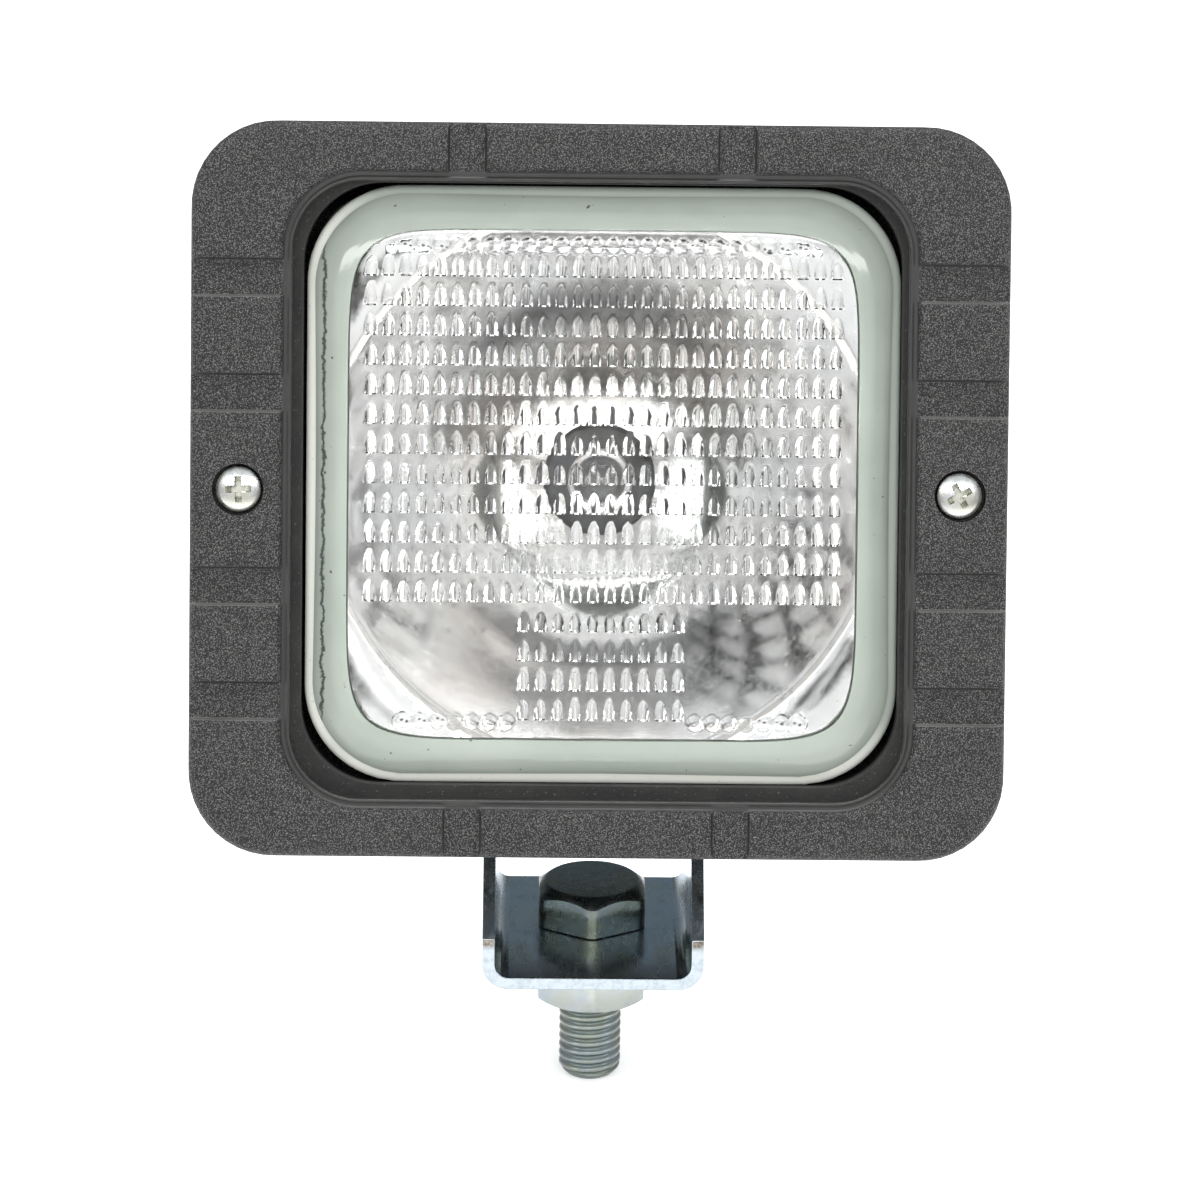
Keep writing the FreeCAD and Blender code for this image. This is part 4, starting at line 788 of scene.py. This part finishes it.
FIELD = 39.05
FIELD_POWER = 8.5
PITCH_X, PITCH_Y = 2.655, 4.555
FIRST_ROW = 32.0
TONGUE_HALF = 5 * PITCH_X
BEAD_R = 1.15
LENS_FRONT, LENS_BACK, FIELD_BACK = -6.6, -9.8, -9.2
SLOPE_FOOT, SLOPE_CREST = -8.1, -6.98
SLOPE_SHARES = (0.80, 0.72, 0.58, 0.44, 0.32)
CLEAR, BORDER, GROUND = 0, 1, 2


def field_half(y):
    return FIELD * (1.0 - np.minimum(np.abs(y) / FIELD, 1.0) ** FIELD_POWER) ** (1.0 / FIELD_POWER)


def optics_lines():
    """Grid lines of the pressed optics: close on each side of every row's step."""
    cells = (0.0, 0.13, 0.165, 0.20, 0.29, 0.40, 0.50, 0.60, 0.71, 0.80, 0.835, 0.87)
    levels = (0.0, 0.05, 0.12, 0.21, 0.31, 0.41, 0.50, 0.58, 0.64, 0.70, 0.85)
    columns = [(k + c) * PITCH_X for k in range(-14, 14) for c in cells] + [14 * PITCH_X]
    columns = [-38.9, -38.5, -38.0] + columns + [38.0, 38.5, 38.9]
    rows = []
    for k in range(-1, 16):
        bottom = FIRST_ROW - k * PITCH_Y
        rows += [bottom - 0.04] + [bottom + PITCH_Y * share for share in levels]
    rows += list(np.linspace(-38.4, -36.5, 6)) + list(np.linspace(36.9, 38.4, 5))
    rows += [s * FIELD * f for s in (-1, 1) for f in (0.99, 0.995, 0.9985, 1.0)]
    rows = sorted(set(round(r, 4) for r in rows if abs(r) <= FIELD))
    kept = [rows[0]]
    for r in rows[1:]:
        if r - kept[-1] > 0.03:
            kept.append(r)
    kept[-1] = FIELD
    kept[0] = -FIELD
    return np.array(sorted(set(round(c, 4) for c in columns))), np.array(kept)


def optics_height(x, y):
    """How far the pressed lenslets stand back from the field: arches with a flat step at their foot."""
    height = np.zeros_like(x)
    column = np.floor(x / PITCH_X)
    u = x / PITCH_X - column - 0.5
    row = np.floor((FIRST_ROW + PITCH_Y - y) / PITCH_Y + 1e-6)
    v = (y - (FIRST_ROW - row * PITCH_Y)) / PITCH_Y
    v = np.where(v > 1.0, v - 1.0, v)
    centre_x = (column + 0.5) * PITCH_X
    full = (row >= 0) & (row <= 11) & (np.abs(centre_x) < 37.4)
    tongue = (row >= 12) & (row <= 15) & (np.abs(centre_x) < TONGUE_HALF)
    seed = np.sin(column * 12.9898 + row * 78.233) * 43758.5453
    vary = seed - np.floor(seed)
    reach_up = 0.64 + 0.06 * vary
    rise = np.clip(v / reach_up, 0.0, 1.0)
    wide = 0.68 * np.sqrt(np.maximum(1.0 - rise ** 2.6, 0.0)) + 1e-6
    across = np.clip(np.abs(2.0 * u) / wide, 0.0, 1.0)
    arch = (1.0 - 0.75 * rise) * (1.0 - across ** 2.2) ** 0.75
    arch = np.where(v >= reach_up, 0.0, arch)
    tall = 0.52 + 0.10 * vary
    height = np.where(full | tongue, tall * arch, height)
    off = np.abs(centre_x)
    for level, where in ((37.0, off < 33.5), (-36.7, (off > TONGUE_HALF) & (off < 31.0))):
        away = (x - centre_x) ** 2 + ((y - level) * 1.15) ** 2
        bead = np.sqrt(np.maximum(BEAD_R ** 2 - away, 0.0)) * 0.34
        height = np.where(where, np.maximum(height, bead), height)
    reach = FIELD - 0.9
    inside = np.abs(x / reach) ** FIELD_POWER + np.abs(y / reach) ** FIELD_POWER < 1.0
    return np.where(inside, np.minimum(height, 0.8), 0.0)


def make_lens():
    columns, rows = optics_lines()
    nx, ny = len(columns), len(rows)
    half = field_half(rows)[:, None]
    x = np.clip(np.broadcast_to(columns[None, :], (ny, nx)), -half, half)
    x[:, 0] = -half[:, 0]
    x[:, -1] = half[:, 0]
    y = np.broadcast_to(rows[:, None], (ny, nx))
    ripple = 0.012 * np.sin(x * 0.9 + 1.3 * np.sin(y * 0.35)) * np.cos(y * 0.7)
    z = FIELD_BACK + ripple - optics_height(x, y)
    grid = np.stack([x.ravel(), y.ravel(), z.ravel()], 1)
    faces = []
    for j in range(ny - 1):
        for i in range(nx - 1):
            a = j * nx + i
            faces.append((a, a + 1, a + nx + 1, a + nx))
    work = bmesh.new()
    mesh = bpy.data.meshes.new("lens_back")
    mesh.from_pydata(grid.tolist(), [], faces)
    work.from_mesh(mesh)
    bmesh.ops.remove_doubles(work, verts=work.verts, dist=0.004)
    bmesh.ops.dissolve_degenerate(work, edges=work.edges, dist=0.001)
    # the field's rim, in order of angle
    edge = [v for v in work.verts if any(e.is_boundary for e in v.link_edges)]
    edge.sort(key=lambda v: math.atan2(v.co.y, v.co.x))
    for v in edge:
        v.co.z = FIELD_BACK
    count = len(edge)
    ex = np.array([v.co.x for v in edge])
    ey = np.array([v.co.y for v in edge])
    reach = np.hypot(ex, ey)
    ux, uy = ex / reach, ey / reach
    outer = round_hit(*np.zeros((2, count)), np.abs(ux), np.abs(uy), GLASS_W / 2, GLASS_H / 2, GLASS_R)
    border = outer - reach

    # rings from the field's rim: over the back, round the ground edge, up the slope, over the front
    rings = [(reach + border * share, z, BORDER) for share, z in (
        (0.015, LENS_BACK + 0.25), (0.05, LENS_BACK + 0.06), (0.10, LENS_BACK),
        (0.5, LENS_BACK), (0.85, LENS_BACK),
    )]
    rings += [(outer - inset, z, GROUND if inset < 1.6 else BORDER) for inset, z in (
        (0.35, LENS_BACK), (0.08, LENS_BACK + 0.12), (0.0, LENS_BACK + 0.45), (0.0, -9.0), (0.12, -8.74),
        (0.5, -8.54), (1.0, -8.40), (1.5, -8.30), (1.65, -8.20),
    )]
    first, last = SLOPE_SHARES[0], SLOPE_SHARES[-1]
    for share in SLOPE_SHARES[1:]:
        climbed = (first - share) / (first - last)
        rings.append((reach + border * share, SLOPE_FOOT + (SLOPE_CREST - SLOPE_FOOT) * climbed, BORDER))
    rings += [(reach + beyond, z, CLEAR if beyond < 0 else BORDER) for beyond, z in (
        (1.8, -6.91), (1.5, -6.84), (1.1, -6.785), (0.7, -6.73), (0.3, -6.68),
        (-0.1, -6.648), (-0.6, -6.625), (-1.2, -6.612), (-2.4, -6.605),
    )]
    for scale in (0.84, 0.7, 0.55, 0.4, 0.25, 0.1):
        rings.append((reach * scale, LENS_FRONT - 0.03 * scale, CLEAR))
    previous = edge
    for distance, z, kind in rings:
        here = [work.verts.new((d * a, d * b, z)) for d, a, b in zip(distance, ux, uy)]
        for k in range(count):
            nxt = (k + 1) % count
            work.faces.new((previous[k], previous[nxt], here[nxt], here[k])).material_index = kind
        previous = here
    centre = work.verts.new((0.0, 0.0, LENS_FRONT))
    for k in range(count):
        work.faces.new((previous[k], previous[(k + 1) % count], centre))
    bmesh.ops.recalc_face_normals(work, faces=work.faces)
    bmesh.ops.scale(work, vec=Vector((MM, MM, MM)), verts=work.verts)
    made = bpy.data.meshes.new("lens")
    work.to_mesh(made)
    work.free()
    for material in (glass_clear, glass_green, glass_edge):
        made.materials.append(material)
    lens = add_object("lens", made, AXIS)
    shade_by_angle(lens, 38.0)
    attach(lens, "lamp_head")
    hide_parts("lens_glass")


make_lens()


# --- reflector -------------------------------------------------------------------------------------

MOUTH, BULB_HOLE, REFLECTOR_DEEP = 43.5, 9.0, 34.0
MOUTH_Z = -10.6
FLANGE_START, FLANGE_INSET = MOUTH + 0.4, 0.7
REFLECTOR_WALL = 1.1
FOCAL = MOUTH ** 2 / (4 * REFLECTOR_DEEP)
VERTEX_Z = MOUTH_Z - REFLECTOR_DEEP
NECK_END = -50.0
NECK, RIM = 1, 2


def make_reflector():
    """A paraboloid bowl with a flange under the glass and a neck round the bulb, as one closed shell."""
    steps, wall = 256, REFLECTOR_WALL
    radii = np.linspace(BULB_HOLE, MOUTH, 60)

    def bowl_z(r):
        return VERTEX_Z + r * r / (4 * FOCAL)

    profile = [(r, bowl_z(r)) for r in radii[:-1]]
    profile += [(MOUTH, MOUTH_Z - 0.35), (MOUTH + 0.12, MOUTH_Z - 0.1), (FLANGE_START, MOUTH_Z)]
    _, ux, uy = round_the_clock(steps)
    half_w, half_h, corner = GLASS_W / 2 - FLANGE_INSET, GLASS_H / 2 - FLANGE_INSET, GLASS_R - FLANGE_INSET
    edge = round_hit(*np.zeros((2, steps)), np.abs(ux), np.abs(uy), half_w, half_h, corner)
    profile += [(FLANGE_START + (edge - FLANGE_START) * share, MOUTH_Z) for share in (0.5, 1.0)]
    profile += [(edge, MOUTH_Z - wall)]
    for r in np.linspace(FLANGE_START, BULB_HOLE + wall, 24):
        profile.append((r, min(bowl_z(r) - wall, MOUTH_Z - wall)))
    profile += [(BULB_HOLE + wall, NECK_END), (BULB_HOLE, NECK_END), (BULB_HOLE, NECK_END + 4.0)]
    rows = len(profile)
    points = np.concatenate([ring_at(r, ux, uy, z) for r, z in profile])
    faces = loop_faces(rows, steps, closed_rows=True)
    kinds = np.zeros(rows, int)
    kinds[len(radii) - 2:len(radii) + 1] = RIM
    kinds[-4:] = NECK
    reflector = make_piece(
        "reflector_bowl", points, faces, "lamp_head", [mirror_bright, neck_dark, rim_dull],
        AXIS, 30.0, np.repeat(kinds, steps),
    )
    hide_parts("reflector")


make_reflector()


# --- mounting stud: hexagons and threads -------------------------------------------------------------

ACROSS = 17.0
HEAD_TALL = 6.4
THREAD_R, ROOT_R, THREAD_PITCH = 5.0, 4.55, 1.5
THREAD_END = 8.0
HEX_STEPS = 6 * 24


def hexagon_rings(low, high, bottom_chamfer, face, steep, bore):
    """Rings of a hexagonal prism with cone-bevelled corners, then the bore's (radius, height) rings."""
    angles, cosine, sine = round_the_clock(HEX_STEPS)
    ux, uy = sine, -cosine
    local = angles % math.radians(60) - math.radians(30)
    tip = ACROSS / 2 / math.cos(math.radians(30)) - 0.35
    radius = np.minimum(ACROSS / 2 / np.cos(local), tip)
    cut = np.maximum(radius - face, 0.0) * steep
    rings = []

    def add(r, z):
        rings.append(ring_at(r, ux, uy, z))

    if bottom_chamfer:
        add(face * 0.985 - 0.1, low)
        add(face, low + 0.04)
        add(radius - 0.08, low + np.maximum(cut - 0.06, 0.06))
        add(radius, low + np.maximum(cut, 0.12) + 0.08)
    else:
        add(radius - 0.1, low)
        add(radius, low + 0.1)
    add(radius, (low + high) / 2)
    add(radius, high - np.maximum(cut, 0.12) - 0.08)
    add(radius - 0.08, high - np.maximum(cut - 0.06, 0.06))
    add(face, high - 0.04)
    add(face * 0.985 - 0.1, high)
    for r, z in bore:
        add(r, z)
    return rings


def thread_radius(angle, z):
    phase = (z / THREAD_PITCH - angle / (2 * math.pi)) % 1.0
    shape = np.clip(1.25 - np.abs(phase - 0.5) * 2.9, 0.0, 1.0)
    shape = shape * shape * (3 - 2 * shape)
    return ROOT_R + (THREAD_R - ROOT_R) * shape


def closed_stack(rings, steps):
    return np.concatenate(rings), loop_faces(len(rings), steps) + capped(len(rings), steps)


def make_bolt():
    end, top = (corner.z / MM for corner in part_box("mounting_bolt"))
    seat = top - HEAD_TALL
    crown = [(r, top) for r in (6.9, 5.6, 3.0, 0.01)]
    head_points, head_faces = closed_stack(hexagon_rings(seat, top, False, 7.55, 0.80, crown), HEX_STEPS)
    # the shank and thread, from its tip up
    turns = 96
    angles, ux, uy = round_the_clock(turns)
    shank = []
    for z in np.arange(end, THREAD_END, THREAD_PITCH / 12):
        from_tip = z - end
        limit = THREAD_R - max(0.0, 1.35 - from_tip) * 0.85 if from_tip > 0.3 else 3.75 + from_tip * 1.1
        shank.append(ring_at(np.minimum(thread_radius(angles, z), limit), ux, uy, z))
    shank += [ring_at(4.97, ux, uy, z) for z in (THREAD_END + 0.2, seat + 0.3)]
    shank_points, shank_faces = closed_stack(shank, turns)
    offset = len(head_points)
    points = np.concatenate([head_points, shank_points])
    faces = head_faces + [tuple(i + offset for i in f) for f in shank_faces]
    kinds = [1] * len(head_faces) + [0] * len(shank_faces)
    materials = [stud_zinc, head_zinc]
    bolt = make_piece("mounting_bolt_detailed", points, faces, "stud", materials, None, 40.0, kinds)
    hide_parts("mounting_bolt")


def make_nut():
    bottom, top = (corner.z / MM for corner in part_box("mounting_nut"))
    bore = [(5.4, top), (4.95, top - 0.45), (4.95, bottom + 0.5), (5.5, bottom)]
    rings = hexagon_rings(bottom, top, True, 7.9, 0.62, bore)
    faces = loop_faces(len(rings), HEX_STEPS, closed_rows=True)
    nut = make_piece("mounting_nut_detailed", np.concatenate(rings), faces, "stud", nut_zinc, None, 40.0)
    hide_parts("mounting_nut")


make_bolt()
make_nut()


# --- bezel screws ------------------------------------------------------------------------------------

def make_screw(node, side, turn):
    seat, radius, tall = SCREW_SEAT, 3.6, 2.45
    steps = 64
    dome = [(0.02, seat + tall)]
    for share in (0.2, 0.4, 0.6, 0.75, 0.87, 0.95):
        dome.append((radius * share, seat + tall - 0.62 * share ** 2.4))
    dome += [(radius - 0.06, seat + tall - 0.72), (radius, seat + tall - 0.95), (radius, seat + 0.35)]
    dome += [(radius - 0.12, seat + 0.05), (radius - 0.3, seat)]
    dome += [(1.9, seat), (1.9, seat - 13.0), (0.3, seat - 15.0)]
    points, faces = lathe(dome, steps)
    place = HEAD @ Matrix.Translation(Vector((side * SCREW_X * MM, 0, 0)))
    place = place @ Matrix.Rotation(math.radians(turn), 4, "Z")
    faces += capped(len(dome), steps)
    screw = make_piece(node + "_detailed", points, faces, "lamp_head", screw_zinc, place, 180.0)

    def slot_ring(z, half_long, half_wide):
        return [(x * half_long, y * half_wide, z) for x, y in ((1, 1), (-1, 1), (-1, -1), (1, -1))]

    slot = block(slot_ring(seat + tall + 0.4, 2.35, 0.58), slot_ring(seat + 0.85, 1.1, 0.34))
    turns = [Matrix.Rotation(math.radians(quarter), 4, "Z") for quarter in (0.0, 90.0)]
    cut_with(screw, [loose_mesh("cutter", *slot, place @ turned) for turned in turns])
    shade_by_angle(screw, 30.0)
    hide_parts(node)


make_screw("bezel_screw_left", -1.0, 2.0)
make_screw("bezel_screw_right", 1.0, 28.0)


# --- CAD nodes that keep their own shape --------------------------------------------------------------

def finish_node(name, material, soft_edge):
    """Give a node its material and, where it shows, a soft edge in millimetres."""
    node = frame["nodes"][name]
    node.data.materials.clear()
    node.data.materials.append(material)
    if soft_edge:
        weld = node.modifiers.new("weld", "WELD")
        weld.merge_threshold = 1e-6
        flat = node.modifiers.new("flat", "DECIMATE")
        flat.decimate_type = "DISSOLVE"
        flat.angle_limit = math.radians(1.5)
        bevel = node.modifiers.new("bevel", "BEVEL")
        bevel.width = soft_edge * MM
        bevel.segments = 2
        bevel.limit_method = "ANGLE"
        bevel.angle_limit = math.radians(38)
        bevel.use_clamp_overlap = False
        bevel.harden_normals = True


for name, material, soft_edge in (
    ("bracket", bracket_zinc, 0.22),
    ("spring_washer", washer_zinc, 0.15),
    ("flat_washer", washer_zinc, 0.12),
    ("pivot_bolt", pivot_zinc, 0.0),
    ("pivot_nut", pivot_zinc, 0.0),
    ("pivot_washer_left", pivot_zinc, 0.1),
    ("pivot_washer_right", pivot_zinc, 0.1),
    ("pivot_sleeve", pivot_zinc, 0.0),
    ("housing_gasket", seal_rubber, 0.0),
    ("lens_gasket", seal_rubber, 0.0),
    ("socket_seal", seal_rubber, 0.0),
    ("lens_sealant", sealant_dark, 0.0),
    ("bulb_holder", base_steel, 0.0),
    ("bulb_clip", holder_steel, 0.0),
    ("bulb_base", base_steel, 0.0),
    ("bulb_capsule", quartz, 0.0),
    ("bulb_filament", tungsten, 0.0),
    ("connector_socket", socket_black, 0.0),
    ("terminal_blade_live", brass, 0.0),
    ("terminal_blade_earth", brass, 0.0),
    ("bulb_lead", live_red, 0.0),
    ("earth_lead", earth_black, 0.0),
):
    finish_node(name, material, soft_edge)


# --- studio ------------------------------------------------------------------------------------------

def make_floor():
    size = 3.0
    low = cad_box[0].z
    mesh = bpy.data.meshes.new("floor")
    corners = [(x * size, y * size, low) for x, y in ((-1, -1), (1, -1), (1, 1), (-1, 1))]
    mesh.from_pydata(corners, [], [(0, 1, 2, 3)])
    floor = add_object("floor", mesh)
    shade = Shade("floor_paper", specular_ior_level=0.2, roughness=0.8)
    broad = shade.span(shade.noise(3.0, 3.0), 0.3, 0.7)
    shade.set(base_color=shade.mix(broad, (0.93, 0.93, 0.93), (0.95, 0.95, 0.95)))
    shade.bump(shade.noise(600.0, 3.0), 0.02)
    shade.set(emission_color=(1.0, 1.0, 1.0), emission_strength=0.36)
    mesh.materials.append(shade.material)


def make_light(name, where, aim, size_x, size_y, power):
    data = bpy.data.lights.new(name, "AREA")
    data.shape = "RECTANGLE"
    data.size = size_x
    data.size_y = size_y
    data.energy = power
    turn = (Vector(aim) - Vector(where)).to_track_quat("-Z", "Y")
    add_object(name, data, Matrix.Translation(Vector(where)) @ turn.to_matrix().to_4x4())


def make_world():
    world = bpy.data.worlds.new("studio")
    bpy.context.scene.world = world
    world.use_nodes = True
    tree = world.node_tree
    background = tree.nodes["Background"]
    coord = tree.nodes.new("ShaderNodeTexCoord").outputs["Generated"]

    def patch(direction, inner, outer):
        """1 inside a cone about a direction, fading to 0 outside it."""
        dot = tree.nodes.new("ShaderNodeVectorMath")
        dot.operation = "DOT_PRODUCT"
        tree.links.new(coord, dot.inputs[0])
        dot.inputs[1].default_value = Vector(direction).normalized()
        span = tree.nodes.new("ShaderNodeMapRange")
        tree.links.new(dot.outputs["Value"], span.inputs["Value"])
        span.inputs["From Min"].default_value = math.cos(math.radians(outer))
        span.inputs["From Max"].default_value = math.cos(math.radians(inner))
        return span.outputs["Result"]

    def blend(factor, a, b):
        node = tree.nodes.new("ShaderNodeMix")
        node.data_type = "RGBA"
        tree.links.new(factor, node.inputs[0])
        for socket, value in ((node.inputs[6], a), (node.inputs[7], b)):
            if isinstance(value, bpy.types.NodeSocket):
                tree.links.new(value, socket)
            else:
                socket.default_value = (*value, 1.0)
        return node.outputs[2]

    colour = blend(patch((0, 0, 1), 15, 85), (0.46, 0.46, 0.46), (0.95, 0.95, 0.95))
    colour = blend(patch((0.0, 1.0, 0.42), 16, 32), colour, (0.20, 0.245, 0.275))
    colour = blend(patch((0.0, -0.95, 0.30), 10, 36), colour, (1.22, 1.22, 1.22))
    colour = blend(patch((0.10, -0.95, 0.26), 3, 5), colour, (0.02, 0.02, 0.02))
    colour = blend(patch((-0.14, -0.95, 0.36), 3, 5), colour, (0.04, 0.04, 0.04))
    tree.links.new(colour, background.inputs["Color"])
    background.inputs["Strength"].default_value = 0.85


make_floor()
make_world()
make_light("softbox_top", (0.0, 0.05, 0.9), (0.0, 0.0, 0.08), 1.2, 0.5, 11.0)
make_light("softbox_front", (0.0, -1.00, 0.66), (0.0, 0.0, 0.09), 1.3, 0.12, 4.0)
make_light("softbox_left", (-0.9, -0.6, 0.4), (0.0, 0.0, 0.08), 0.4, 0.8, 3.0)
make_light("softbox_right", (0.9, -0.5, 0.4), (0.0, 0.0, 0.08), 0.4, 0.8, 2.6)
bpy.context.scene.view_settings.view_transform = "Standard"
